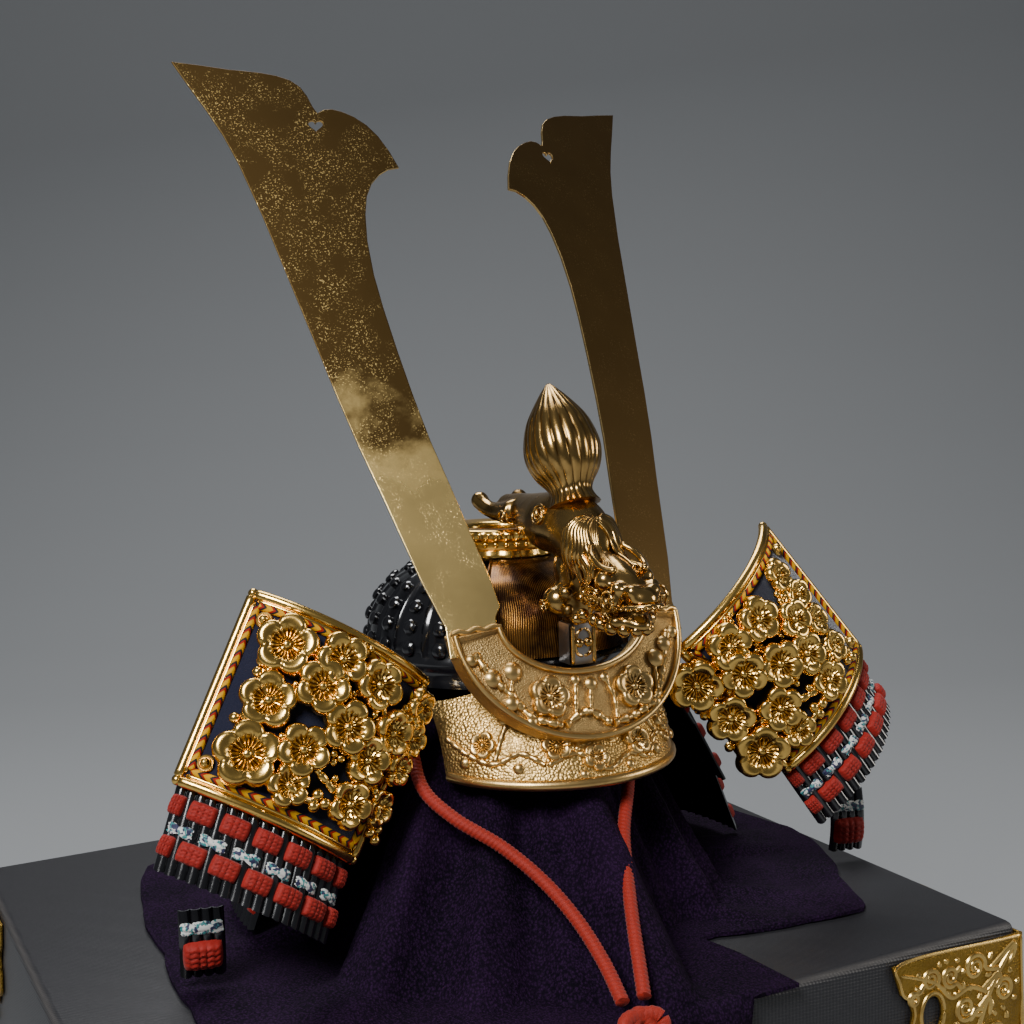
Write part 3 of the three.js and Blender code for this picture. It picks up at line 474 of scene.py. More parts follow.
    @staticmethod
    def plate(name: str, outline: Rows, holes: Sequence[Rows], thick: float,
              bevel: float) -> bpy.types.Object:
        """A flat plate cut to an outline in the XZ plane, centred on Y, in millimetres.

        Args:
            name: The new object's name.
            outline: The outer edge's points as x and z.
            holes: The edges of its holes.
            thick: The plate's full thickness.
            bevel: How far its edges are rounded.

        Returns:
            The plate as a mesh, in millimetres round the origin.
        """
        curve = bpy.data.curves.new(name, "CURVE")
        curve.dimensions = "2D"
        curve.fill_mode = "BOTH"
        curve.extrude = thick / 2 - bevel
        curve.bevel_depth = bevel
        curve.bevel_resolution = 1
        curve.offset = -bevel
        for edge in [outline, *holes]:
            spline = curve.splines.new("POLY")
            spline.points.add(len(edge) - 1)
            for point, (x, z) in zip(spline.points, edge):
                point.co = (x, z, 0.0, 1.0)
            spline.use_cyclic_u = True
        obj = bpy.data.objects.new(name, curve)
        bpy.context.scene.collection.objects.link(obj)
        Bench.pick(obj)
        bpy.ops.object.convert(target="MESH")
        obj = bpy.context.object
        co = Bench.points(obj)
        Bench.move(obj, stack(co[:, 0], -co[:, 2], co[:, 1]))
        return Bench.outward(obj)

    @staticmethod
    def deliver(obj: bpy.types.Object, material: bpy.types.Material | Sequence[bpy.types.Material],
                slot: str, *nodes: str, angle: float | None = 35.0) -> bpy.types.Object:
        """Dresses a finished piece, hangs it on the body and hides the solids that it replaces.

        Args:
            obj: The finished piece, with its place in its mesh.
            material: Its finish, or several where its faces already name them.
            slot: The name of a material slot; not used.
            *nodes: The solids that it replaces.
            angle: The smoothing angle in degrees, or none to leave its shading alone.

        Returns:
            The same piece.
        """
        if angle is not None:
            Bench.smooth(obj, angle)
        if not isinstance(material, bpy.types.Material):
            indices = [p.material_index for p in obj.data.polygons]
            obj.data.materials.clear()
            for one in material:
                obj.data.materials.append(one)
            obj.data.polygons.foreach_set("material_index", indices)
        else:
            obj.data.materials.clear()
            obj.data.materials.append(material)
        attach(obj, BODY)
        if nodes:
            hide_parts(*nodes)
        LOG.info("%s: %d faces", obj.name, len(obj.data.polygons))
        return obj


# ------------------------------------------------------------------ shading
class Wire:
    """A socket with arithmetic: an expression on wires adds the Math nodes that it needs."""

    def __init__(self, look: "Look", socket: bpy.types.NodeSocket) -> None:
        """Wraps an output socket of a look's node tree."""
        self.look = look
        self.socket = socket

    def _math(self, operation: str, *values: "Wire | float") -> "Wire":
        """Adds a Math node on this wire and the values after it."""
        return self.look.node("ShaderNodeMath", {"operation": operation}, dict(enumerate(values)))

    def __add__(self, other: "Wire | float") -> "Wire":
        """self + other"""
        return self._math("ADD", self, other)

    def __radd__(self, other: float) -> "Wire":
        """other + self"""
        return self._math("ADD", other, self)

    def __sub__(self, other: "Wire | float") -> "Wire":
        """self - other"""
        return self._math("SUBTRACT", self, other)

    def __rsub__(self, other: float) -> "Wire":
        """other - self"""
        return self._math("SUBTRACT", other, self)

    def __mul__(self, other: "Wire | float") -> "Wire":
        """self * other"""
        return self._math("MULTIPLY", self, other)

    def __rmul__(self, other: float) -> "Wire":
        """other * self"""
        return self._math("MULTIPLY", other, self)

    def apply(self, operation: str, *values: "Wire | float") -> "Wire":
        """Any other operation of the Math node, such as SINE or ABSOLUTE."""
        return self._math(operation, self, *values)

    def wave(self, length: float, shift: float = 0.0) -> "Wire":
        """A wave from 0 to 1 of this value, of a given length."""
        return (self * (2 * math.pi / length) + shift).apply("SINE") * 0.5 + 0.5

    def step(self, low: float, high: float) -> "Wire":
        """A smooth step from 0 at low to 1 at high."""
        settings = {"interpolation_type": "SMOOTHSTEP"}
        return self.look.node("ShaderNodeMapRange", settings, {0: self, 1: low, 2: high})


class Look:
    """A material in the making: its node tree and the nodes that finishes are written with."""

    def __init__(self, name: str) -> None:
        """Starts a material with a bare Principled shader.

        Args:
            name: The new name.
        """
        self.material = bpy.data.materials.new(name)
        self.material.use_nodes = True
        self.tree = self.material.node_tree
        self.shader = next(n for n in self.tree.nodes if n.type == "BSDF_PRINCIPLED")

    def node(self, kind: str, settings: dict | None = None, sockets: dict | None = None,
             output: int | str = 0) -> Wire:
        """Adds a node.

        Args:
            kind: The node's type name.
            settings: Its properties, such as an operation.
            sockets: The values or wires of its inputs, by index or name.
            output: The output to return.

        Returns:
            The wire of that output.
        """
        node = self.tree.nodes.new(kind)
        for key, value in (settings or {}).items():
            setattr(node, key, value)
        for key, value in (sockets or {}).items():
            if isinstance(value, Wire):
                self.tree.links.new(value.socket, node.inputs[key])
            else:
                node.inputs[key].default_value = value
        return Wire(self, node.outputs[output])

    def place(self, kind: str = "Object") -> Wire:
        """The Object coordinates or the piece's own UV map."""
        return self.node("ShaderNodeTexCoord", output=kind)

    def axes(self, vector: Wire) -> tuple[Wire, Wire, Wire]:
        """The three parts of a vector, scaled to millimetres where it is in metres.

        Args:
            vector: The vector.

        Returns:
            Its three parts.
        """
        split = self.node("ShaderNodeSeparateXYZ", None, {0: vector})
        outputs = split.socket.node.outputs
        return Wire(self, outputs[0]), Wire(self, outputs[1]), Wire(self, outputs[2])

    def scaled(self, vector: Wire, scale: Sequence[float]) -> Wire:
        """A vector scaled along each axis."""
        return self.node("ShaderNodeMapping", None, {"Vector": vector, "Scale": tuple(scale)})

    def noise(self, vector: Wire, size_mm: float, detail: float = 3.0, rough: float = 0.55) -> Wire:
        """Fractal noise whose features are about size_mm across."""
        sockets = {"Vector": vector, "Scale": 1.0 / (size_mm * MM), "Detail": detail, "Roughness": rough}
        return self.node("ShaderNodeTexNoise", None, sockets)

    def cells(self, vector: Wire, size_mm: float, random: float = 1.0) -> Wire:
        """The distance to the nearest of cells about size_mm across."""
        sockets = {"Vector": vector, "Scale": 1.0 / (size_mm * MM), "Randomness": random}
        return self.node("ShaderNodeTexVoronoi", None, sockets)

    def blend(self, factor: Wire | float, a: object, b: object) -> Wire:
        """A colour between a and b.

        Args:
            factor: How much of b is taken.
            a: The first colour.
            b: The second colour.

        Returns:
            The colour between them.
        """
        node = self.tree.nodes.new("ShaderNodeMix")
        node.data_type = "RGBA"
        for index, value in ((0, factor), (6, a), (7, b)):
            if isinstance(value, Wire):
                self.tree.links.new(value.socket, node.inputs[index])
            elif index == 0:
                node.inputs[index].default_value = value
            else:
                node.inputs[index].default_value = (*value, 1.0)
        return Wire(self, node.outputs[2])

    def bump(self, height: Wire, distance_mm: float, strength: float = 1.0) -> None:
        """Feeds a height into the shader's normal."""
        sockets = {"Height": height, "Distance": distance_mm * MM, "Strength": strength}
        self.set(Normal=self.node("ShaderNodeBump", None, sockets))

    def crevices(self) -> Wire:
        """How sharp an edge or a crease is at each point: above 0.5 on edges, below in creases."""
        return self.node("ShaderNodeNewGeometry", output="Pointiness")

    def set(self, **sockets: object) -> "Look":
        """Sets or links the shader's sockets, with underscores for spaces."""
        for key, value in sockets.items():
            socket = self.shader.inputs[key.replace("_", " ")]
            if isinstance(value, Wire):
                self.tree.links.new(value.socket, socket)
            elif isinstance(value, (tuple, list)) and len(value) == 3 and key != "Normal":
                socket.default_value = (*value, 1.0)
            else:
                socket.default_value = value
        return self


@dataclass(frozen=True)
class Gilt:
    """Gilt metal: a warm polish over a plain or beaded ground, darkened in its creases by painted shade and
    its own oxide, and in random patches that are partly oxide and partly painted dark reflection.
    """

    name: str
    bright: tuple[float, float, float]
    dark: tuple[float, float, float]
    rough: float
    crease: tuple[float, float] = (0.44, 0.52)
    beads: float = 0.0
    patina_and_dark_reflection: float = 0.35

    def material(self) -> bpy.types.Material:
        """Builds the finish.

        Returns:
            The material.
        """
        look = Look(self.name)
        place = look.place()
        cloud = look.noise(place, 9.0, 3.0)
        grain = look.noise(place, 0.7, 2.0)
        # Painted shade: creases go towards the dark colour, together with the oxide that the gilt has there.
        # The cloud patches are partly oxide and partly painted dark reflection.
        edges = look.crevices().step(*self.crease)
        tone = edges * (1 - (cloud.step(0.42, 0.68) * self.patina_and_dark_reflection))
        colour = look.blend(tone, self.dark, self.bright)
        rough = self.rough + (1 - tone) * 0.22 + grain * 0.06
        look.set(Base_Color=colour, Metallic=1.0, Roughness=rough)
        if self.beads:
            bead = look.cells(place, self.beads, 0.8)
            look.bump(grain * 0.12 - bead, self.beads * 0.3)
        else:
            look.bump(grain, 0.05, 0.5)
        return look.material


@dataclass(frozen=True)
class Lacquer:
    """Deep gloss lacquer with the faint unevenness of hand-brushed coats."""

    name: str
    colour: tuple[float, float, float]
    rough: float = 0.16

    def material(self) -> bpy.types.Material:
        """Builds the finish.

        Returns:
            The material.
        """
        look = Look(self.name)
        place = look.place()
        peel = look.noise(place, 2.2, 2.0)
        haze = look.noise(place, 16.0, 3.0).step(0.45, 0.8)
        lighter = tuple(c * 1.6 + 0.004 for c in self.colour)
        look.set(Base_Color=look.blend(haze, self.colour, lighter), Roughness=self.rough + haze * 0.1)
        look.set(Coat_Weight=0.6, Coat_Roughness=0.05, Specular_IOR_Level=0.6)
        look.bump(peel, 0.05, 0.35)
        return look.material


@dataclass(frozen=True)
class Crepe:
    """Crinkled silk crepe: granular and matte, with painted sheen: a lit colour over the crinkles and in
    larger random patches.
    """

    name: str
    colour: tuple[float, float, float]
    # light: the lit colour of the painted sheen
    light: tuple[float, float, float]

    def material(self) -> bpy.types.Material:
        """Builds the finish.

        Returns:
            The material.
        """
        look = Look(self.name)
        place = look.place()
        pebble = look.cells(look.scaled(place, (1.0, 1.0, 0.75)), 0.75)
        twist = look.noise(place, 0.45, 3.0, 0.7)
        # Painted sheen: the crinkles' tone and the larger random patches blend towards the lit colour.
        sheen_patches = look.noise(place, 28.0, 2.0).step(0.35, 0.75)
        tone = (twist * 0.7 + (1 - pebble) * 0.5).step(0.45, 1.0)
        look.set(Base_Color=look.blend(tone * 0.8 + sheen_patches * 0.2, self.colour, self.light), Roughness=0.88)
        look.set(Specular_IOR_Level=0.1)
        look.bump(twist - pebble * 0.8, 0.32, 0.9)
        return look.material


@dataclass(frozen=True)
class Leatherette:
    """Fine ribbed chest covering, dark and satin, paler along its edges: partly wear, partly a painted
    highlight.
    """

    name: str
    half: tuple[float, float]
    top: float
    colour: tuple[float, float, float] = (0.012, 0.012, 0.014)

    def material(self) -> bpy.types.Material:
        """Builds the finish.

        Returns:
            The material.
        """
        look = Look(self.name)
        place = look.place()
        x, y, z = look.axes(place)
        weave = (x * 1000 + y * 1000).wave(1.15) * 0.35 + (z * 1000 + (x + y) * 60).wave(0.95) * 0.65
        grit = look.noise(place, 0.8, 2.0)
        near = x.apply("ABSOLUTE").step(self.half[0] - 0.0022, self.half[0])
        front = y.apply("ABSOLUTE").step(self.half[1] - 0.0022, self.half[1])
        lid = z.step(self.top - 0.0022, self.top)
        edge = (near * front).apply("MAXIMUM", near * lid).apply("MAXIMUM", front * lid)
        # Paler edges: partly wear, partly a painted highlight along the chest's edges.
        wear_and_highlight = (edge * (0.35 + look.noise(place, 0.9, 3.0) * 0.5)).apply("MINIMUM", 1.0)
        base = look.blend(grit * 0.6, self.colour, (0.03, 0.03, 0.034))
        look.set(Base_Color=look.blend(wear_and_highlight * 0.55, base, (0.2, 0.18, 0.16)), Roughness=0.42 + wear_and_highlight * 0.3)
        look.set(Specular_IOR_Level=0.45)
        look.bump(weave * 0.8 + grit * 0.35, 0.16, 0.9)
        return look.material


@dataclass(frozen=True)
class Thread:
    """Braided or knitted silk: fibres run across the piece's own UV map."""

    name: str
    colour: tuple[float, float, float]
    # light: the lit colour of the painted highlight
    light: tuple[float, float, float]
    ribs: tuple[float, float] = (0.0, 0.0)

    def material(self) -> bpy.types.Material:
        """Builds the finish.

        Returns:
            The material.
        """
        look = Look(self.name)
        place = look.place()
        fibre = look.noise(place, 0.35, 3.0, 0.7)
        soft = look.noise(place, 4.0, 2.0)
        # Painted highlight and shade: raised edges go towards the lit colour, grooves towards the dark one.
        tone = look.crevices().step(0.42, 0.56) * 0.6 + fibre * 0.4
        height = fibre
        if self.ribs[0]:
            u, v, _ = look.axes(look.place("UV"))
            rib = u.wave(1.0 / self.ribs[0]) * v.wave(1.0 / self.ribs[1])
            # Painted shade in the valleys between the knit's ribs.
            tone = tone * (0.45 + rib * 0.55)
            height = fibre * 0.4 + rib
        colour = look.blend(tone * 0.85 + soft * 0.15, self.colour, self.light)
        look.set(Base_Color=colour, Roughness=0.6, Sheen_Weight=0.08, Specular_IOR_Level=0.35)
        look.bump(height, 0.2, 0.8)
        return look.material


@dataclass(frozen=True)
class Stitch:
    """Pale lacing thread flecked with navy and teal."""

    name: str = "flecked lacing"

    def material(self) -> bpy.types.Material:
        """Builds the finish.

        Returns:
            The material.
        """
        look = Look(self.name)
        place = look.place()
        navy = look.noise(place, 1.4, 1.0).step(0.5, 0.54)
        teal = look.noise(look.scaled(place, (1.3, 0.9, 1.1)), 1.0, 1.0).step(0.56, 0.6)
        thread = look.blend(navy, (0.6, 0.6, 0.57), (0.012, 0.016, 0.06))
        look.set(Base_Color=look.blend(teal, thread, (0.03, 0.2, 0.2)), Roughness=0.6, Sheen_Weight=0.1)
        look.bump(look.noise(place, 0.4, 2.0), 0.15, 0.7)
        return look.material


@dataclass(frozen=True)
class Felt:
    """Dense dark felt with short fibres."""

    name: str = "navy felt"

    def material(self) -> bpy.types.Material:
        """Builds the finish.

        Returns:
            The material.
        """
        look = Look(self.name)
        place = look.place()
        fibre = look.noise(place, 0.5, 4.0, 0.75)
        look.set(Base_Color=look.blend(fibre, (0.006, 0.007, 0.018), (0.02, 0.022, 0.045)), Roughness=0.95)
        look.set(Sheen_Weight=0.5, Sheen_Roughness=0.4, Specular_IOR_Level=0.15)
        look.bump(fibre, 0.25, 0.9)
        return look.material


@dataclass(frozen=True)
class Piping:
    """Braided piping in gold, orange and black chevrons along its own length."""

    name: str = "chevron piping"
    pitch: float = 3.4

    def material(self) -> bpy.types.Material:
        """Builds the finish: u runs round the cord and v along it in millimetres.

        Returns:
            The material.
        """
        look = Look(self.name)
        u, v, _ = look.axes(look.place("UV"))
        fold = (u - 0.5).apply("ABSOLUTE") * 2.2 * self.pitch
        phase = ((v + fold) * (1.0 / self.pitch)).apply("FRACT")
        gold = phase.step(0.22, 0.27)
        black = phase.step(0.74, 0.79)
        fibre = look.noise(look.place(), 0.35, 2.0, 0.7)
        two = look.blend(gold, (0.3, 0.01, 0.001), (0.66, 0.33, 0.0))
        colour = look.blend(black, two, (0.012, 0.012, 0.015))
        look.set(Base_Color=look.blend(fibre * 0.25, colour, (0.02, 0.015, 0.01)), Roughness=0.7,
                 Specular_IOR_Level=0.2)
        look.bump((phase * 3).apply("FRACT") * 0.6 + fibre * 0.4, 0.2, 0.8)
        return look.material


@dataclass(frozen=True)
class HornSheet:
    """Gilt sheet brass, darker towards its top, with bright glints speckled there."""

    name: str
    bright_to: float
    dark_from: float
    base: tuple[float, float, float] = (0.62, 0.43, 0.16)
    deep: tuple[float, float, float] = (0.11, 0.065, 0.025)
    speckle: float = 0.5

    def material(self) -> bpy.types.Material:
        """Builds the finish.

        Returns:
            The material.
        """
        look = Look(self.name)
        place = look.place()
        _, _, z = look.axes(place)
        cloud = look.noise(place, 16.0, 5.0, 0.6)
        glints = look.noise(place, 0.55, 2.0, 0.6).step(0.58, 0.66) * look.noise(place, 9.0, 3.0).step(0.4,
                                                                                                       0.62)
        rise = (z + (cloud - 0.5) * 0.07).step(self.bright_to, self.dark_from)
        tone = rise * (1 - glints * self.speckle)
        colour = look.blend(tone, self.base, self.deep)
        look.set(Base_Color=colour, Metallic=1.0, Roughness=0.22 + tone * 0.18 + cloud * 0.08)
        look.bump(glints, 0.03, 0.4)
        return look.material


@dataclass(frozen=True)
class Engraved:
    """Amber lacquer over gilt, with engraved lines that fan out from the crown."""

    name: str = "amber lacquer over gilt"
    lines: float = 74.0

    def material(self) -> bpy.types.Material:
        """Builds the finish.

        Returns:
            The material.
        """
        look = Look(self.name)
        u, v, _ = look.axes(look.place("UV"))
        place = look.place()
        cloud = look.noise(place, 9.0, 4.0)
        swirl = look.noise(place, 14.0, 1.0)
        line = (u + swirl * 0.05).wave(1.0 / self.lines).step(0.7, 0.98) * v.step(0.06, 0.12)
        colour = look.blend(cloud.step(0.4, 0.7), (0.03, 0.009, 0.002), (0.22, 0.085, 0.014))
        look.set(Base_Color=look.blend(line * cloud.step(0.35, 0.6) * 0.6, colour, (0.5, 0.27, 0.06)),
                 Metallic=0.9)
        look.set(Roughness=0.24 + line * 0.1, Coat_Weight=0.2, Coat_Roughness=0.2)
        look.bump(line, 0.05, 0.4)
        return look.material


@dataclass(frozen=True)
class Wood:
    """Plain sanded wood with long grain."""

    name: str = "plain wood"

    def material(self) -> bpy.types.Material:
        """Builds the finish.

        Returns:
            The material.
        """
        look = Look(self.name)
        grain = look.noise(look.scaled(look.place(), (1.0, 1.0, 0.12)), 2.5, 4.0)
        look.set(Base_Color=look.blend(grain, (0.3, 0.17, 0.08), (0.55, 0.36, 0.2)), Roughness=0.55)
        look.bump(grain, 0.1, 0.4)
        return look.material


class Finish(Enum):
    """Every finish on the piece, by what it is put on."""

    PALE = Gilt("pale gilt relief", (0.76, 0.5, 0.19), (0.12, 0.06, 0.015), 0.27)
    GROUND = Gilt("beaded gilt ground", (0.68, 0.44, 0.15), (0.12, 0.06, 0.015), 0.32, beads=0.85)
    STIPPLE = Gilt("stippled gilt ground", (0.55, 0.37, 0.15), (0.15, 0.08, 0.025), 0.4, beads=0.45)
    CAST = Gilt("polished cast gilt", (0.9, 0.57, 0.15), (0.16, 0.06, 0.008), 0.17, patina_and_dark_reflection=0.2)
    BRONZE = Gilt("gilt bronze crest", (0.6, 0.37, 0.12), (0.035, 0.015, 0.004), 0.12, patina_and_dark_reflection=0.7)
    JEWEL = Gilt("jewel gilt", (0.6, 0.37, 0.12), (0.05, 0.022, 0.006), 0.13, patina_and_dark_reflection=0.6)
    BRASS = Gilt("stamped brass", (0.82, 0.56, 0.18), (0.2, 0.1, 0.02), 0.24)
    BRASS_GROUND = Gilt("stamped brass ground", (0.4, 0.24, 0.045), (0.04, 0.018, 0.003), 0.34, beads=0.75)
    STEEL = Gilt("silvered side", (0.34, 0.32, 0.3), (0.08, 0.08, 0.08), 0.34)
    HORN_EDGE = Gilt("bright cut edge", (0.85, 0.6, 0.25), (0.3, 0.16, 0.05), 0.25)
    BLACK = Lacquer("black lacquer", (0.004, 0.004, 0.005))
    AMBER = Engraved()
    CREPE = Crepe("purple crepe", (0.002, 0.0007, 0.004), (0.032, 0.009, 0.046))
    RED_CORD = Thread("red braid", (0.06, 0.002, 0.001), (0.36, 0.015, 0.002))
    RED_PAD = Thread("red knit", (0.07, 0.002, 0.001), (0.36, 0.01, 0.003))
    STITCH = Stitch()
    FELT = Felt()
    PIPING = Piping()
    # The two horns are one brass: the left sheet's brighter base colour is painted light. The sheets also
    # differ in where and how far they darken and speckle.
    HORN_LEFT = HornSheet("left horn sheet", 0.288, 0.325, (1.0, 0.72, 0.27), (0.052, 0.031, 0.01), 0.6)
    HORN_RIGHT = HornSheet("right horn sheet", 0.2, 0.25, (0.6, 0.42, 0.17), (0.12, 0.072, 0.024), 0.15)
    CHEST = Leatherette("ribbed leatherette", (0.13, 0.106), 0.165)
    WOOD = Wood()

    @property
    def material(self) -> bpy.types.Material:
        """The finish's material, built the first time that it is asked for."""
        known = bpy.data.materials.get(self.value.name)
        return known or self.value.material()


# ------------------------------------------------------------------ camera and studio
@dataclass
class Studio:
    """The camera, the lights and the plain pale floor."""

    place: tuple[float, float, float] = (-0.1852, -0.3963, 0.3286)
    turned: float = -27.57
    pitched: float = 5.58
    rolled: float = -1.386
    lens: float = 50.0

    def camera(self) -> None:
        """Adds the camera at the viewing place."""
        data = bpy.data.cameras.new("camera")
        data.lens = self.lens
        data.sensor_width = 36.0
        data.clip_start = 0.01
        camera = bpy.data.objects.new("camera", data)
        bpy.context.scene.collection.objects.link(camera)
        a, e, r = (math.radians(v) for v in (self.turned, self.pitched, self.rolled))
        ahead = Vector((-math.sin(a) * math.cos(e), math.cos(a) * math.cos(e), -math.sin(e)))
        right = Vector((math.cos(a), math.sin(a), 0.0))
        up = right.cross(ahead)
        across = right * math.cos(r) + up * math.sin(r)
        upward = up * math.cos(r) - right * math.sin(r)
        turned = Matrix((across, upward, -ahead)).transposed().to_4x4()
        camera.matrix_world = Matrix.Translation(self.place) @ turned
        bpy.context.scene.camera = camera

    def light(self, name: str, place: Sequence[float], size: float, watts: float,
              colour: Sequence[float] = (1, 1, 1)) -> None:
        """Adds a soft panel light that looks at the helmet.

        Args:
            name: The light's name.
            place: Where it stands, in metres.
            size: The side of its square panel, in metres.
            watts: Its power.
            colour: Its colour.
        """
        data = bpy.data.lights.new(name, "AREA")
        data.size = size
        data.energy = watts
        data.color = colour
        lamp = bpy.data.objects.new(name, data)
        bpy.context.scene.collection.objects.link(lamp)
        lamp.location = place
        aim = Vector((0.0, 0.0, 0.25)) - Vector(place)
        lamp.rotation_euler = aim.to_track_quat("-Z", "Y").to_euler()

    def build(self) -> None:
        """Adds the lights, the world and the floor that sweeps up behind."""
        self.light("key", (-0.85, -0.7, 1.25), 0.5, 30.0)
        self.light("fill", (1.2, -0.7, 0.6), 0.5, 5.0, (1.0, 0.95, 0.88))
        self.light("top", (0.2, 0.7, 1.5), 0.8, 15.0)
        world = bpy.data.worlds.new("studio")
        world.use_nodes = True
        world.node_tree.nodes["Background"].inputs[0].default_value = (0.72, 0.76, 0.82, 1.0)
        world.node_tree.nodes["Background"].inputs[1].default_value = 0.13
        bpy.context.scene.world = world
        sweep = Bench.grid("floor", self.sweep, 8, 48, seat=False)
        Bench.smooth(sweep, 60)
        look = Look("pale floor")
        look.set(Base_Color=(0.27, 0.28, 0.29), Roughness=0.8, Specular_IOR_Level=0.2)
        sweep.data.materials.append(look.material)

    @staticmethod
    def sweep(u: np.ndarray, v: np.ndarray) -> np.ndarray:
        """A floor that turns up into a backdrop far behind the object.

        Args:
            u: The share across or round, from 0 to 1.
            v: The share along or down, from 0 to 1.

        Returns:
            The points.
        """
        flat, bend = 3.5, 1.0
        run = v * (flat + bend * math.pi / 2 + 3.0) - 2.5
        angle = np.clip((run - (flat - 2.5)) / bend, 0.0, math.pi / 2)
        beyond = np.maximum(run - (flat - 2.5) - bend * math.pi / 2, 0.0)
        depth = np.minimum(run, flat - 2.5) + bend * np.sin(angle)
        side = (u - 0.5) * 12.0
        a = math.radians(-27.57)
        height = bend * (1 - np.cos(angle)) + beyond
        return stack(side * math.cos(a) - depth * math.sin(a), side * math.sin(a) + depth * math.cos(a),
                     height)


# ------------------------------------------------------------------ cords
@dataclass
class ChinCords:
    """The braided chin cords, their knot, two loops and two tails."""

    radius: float = 1.85
    braid: float = 1.3
    knot: tuple[float, float, float] = (-20.0, -70.6, -92.0)
    left: Rows = ((-39.5, 24, -22.6), (-45, 8, -37), (-46, -1, -44.4), (-41.5, -10, -50.5), (-32, -21, -57.5),
                  (-25.5, -32, -65), (-22, -43, -72.5), (-21.5, -55, -79.5), (-23.2, -66.4, -85))
    right: Rows = ((33, 21, -22.6), (26, 6, -33), (18, -6, -42.5), (11.5, -15, -49), (3, -26, -58),
                   (-4, -39, -67),
                   (-9.5, -50, -74), (-13.6, -59, -80), (-17, -66.4, -85))
    loop_reach: float = 24.0
    loop_drop: float = 40.0
    loop_depth: float = -68.8
    tail_reach: float = 7.0
    tail_drop: float = 62.0
    tail_depth: float = -69.0
    end: float = 3.0

    def rib(self, u: np.ndarray, along: np.ndarray) -> np.ndarray:
        """The braid's radius: two columns of slanting ribs that meet along a line in front.

        Args:
            u: The share across or round, from 0 to 1.
            along: The length along the cord.

        Returns:
            The radius at each place.
        """
        around = np.abs((u + 0.5) % 1.0 - 0.5) * 2.0
        slant = np.abs(np.sin(np.pi * (along / self.braid + around * 1.1)))
        groove = np.exp(-((around / 0.13) ** 2)) + np.exp(-(((1 - around) / 0.13) ** 2))
        return self.radius * (0.86 + 0.16 * np.sqrt(slant) - 0.1 * groove)

    def braided(self, name: str, route: Rows) -> tuple[bpy.types.Object, np.ndarray]:
        """A braided tube along a route.

        Args:
            name: The piece's name.
            route: The points that it passes.

        Returns:
            The tube and its middle line in metres.
        """
        line = curve_through(route, 0.25)
        return Bench.tube(name, line, self.rib, 16), SEAT.world(line)

    def loop(self, side: int) -> list[tuple[float, float, float]]:
        """The route of one loop of the bow: out of the knot, down and back up into it.

        Args:
            side: The side that it is on.

        Returns:
            The route's points.
        """
        x, y, z = self.knot
        top = z - 1.8
        start = x + side * 10.2
        reach, drop, depth = self.loop_reach, self.loop_drop, self.loop_depth
        return [(start, y - 0.4, top), (start + side * reach * 0.3, depth - 1, top - 4),
                (start + side * reach * 0.62, depth, top - 14),
                (start + side * reach * 0.66, depth, top - drop * 0.7),
                (start + side * reach * 0.4, depth, top - drop),
                (start + side * reach * 0.12, depth, top - drop * 0.72),
                (start + side * 0.1, depth, top - 14), (start - side * 2.6, y - 0.6, top - 6.6)]

    def tail(self, side: int) -> list[tuple[float, float, float]]:
        """The route of one hanging tail.

        Args:
            side: The side that it is on.

        Returns:
            The route's points.
        """
        x, y, z = self.knot
        top = z - 6.9
        start = x + side * 2.6
        reach, drop, depth = self.tail_reach, self.tail_drop, self.tail_depth
        return [(start, y, top), (start + side * 0.6, depth + 0.2, top - 8),
                (start + side * reach * 0.5, depth, top - drop * 0.4),
                (start + side * reach * 0.9, depth, top - drop * 0.72),
                (start + side * reach, depth, top - drop)]

    def knot_piece(self) -> bpy.types.Object:
        """The knot: two wraps of the braid pulled tight over each other.

        Returns:
            The piece.
        """
        x, y, z = self.knot
        turns = np.linspace(0, 2 * np.pi, 40)
        wraps = []
        for tilt, reach, rise in ((28, 6.4, 3.4), (-30, 6.0, 3.2), (0, 2.6, 4.4)):
            ring = stack(reach * np.cos(turns), 2.1 * np.sin(turns * 1.0), rise * np.sin(turns))
            ring = ring @ turn("Y", tilt).T + np.array([x, y, z])
            wraps.append(Bench.tube("wrap", curve_through(ring, 0.4), self.rib, 16))
        return Bench.join("chin_knot_braid", wraps)

    def tail_end(self, side: int) -> bpy.types.Object:
        """The small knot that finishes a tail.

        Args:
            side: The side that it is on.

        Returns:
            The piece.
        """
        x, y, z = self.tail(side)[-1]
        turns = np.linspace(0, 4.2 * np.pi, 60)
        coil = stack(1.3 * np.cos(turns), 1.3 * np.sin(turns), 1.3 - turns * 0.2)
        return Bench.tube("end", curve_through(coil + np.array([x, y, z - self.end - 0.3]), 0.35), self.rib,
                          12)

    def declare(self, piece: bpy.types.Object, line: np.ndarray) -> None:
        """Works out a cord's length and samples its line, and keeps neither."""
        length = float(np.linalg.norm(np.diff(line, axis=0), axis=1).sum())
        tuple(line[0])
        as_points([tuple(p) for p in line[::4]] + [tuple(line[-1])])

    def build(self) -> None:
        """Makes every cord."""
        red = Finish.RED_CORD.material
        knot = Bench.deliver(self.knot_piece(), red, "red_cord", "chin_knot", angle=80)
        for side, route in (("left", self.left), ("right", self.right)):
            piece, line = self.braided(f"chin_braid_{side}", route)
            Bench.deliver(piece, red, "red_cord", f"chin_cord_{side}", angle=80)
            self.declare(piece, line)
        for side, flip in (("left", -1), ("right", 1)):
            piece, line = self.braided(f"bow_braid_{side}", self.loop(flip))
            Bench.deliver(piece, red, "red_cord", f"bow_loop_{side}", angle=80)
            self.declare(piece, line)
            tail, line = self.braided(f"tail_braid_{side}", self.tail(flip))
            Bench.deliver(tail, red, "red_cord", f"cord_tail_{side}", angle=80)
            end = self.tail_end(flip)
            end.name = f"tail_end_{side}"
            Bench.deliver(end, red, "red_cord", f"tail_knot_{side}", angle=80)
            self.declare(tail, line)


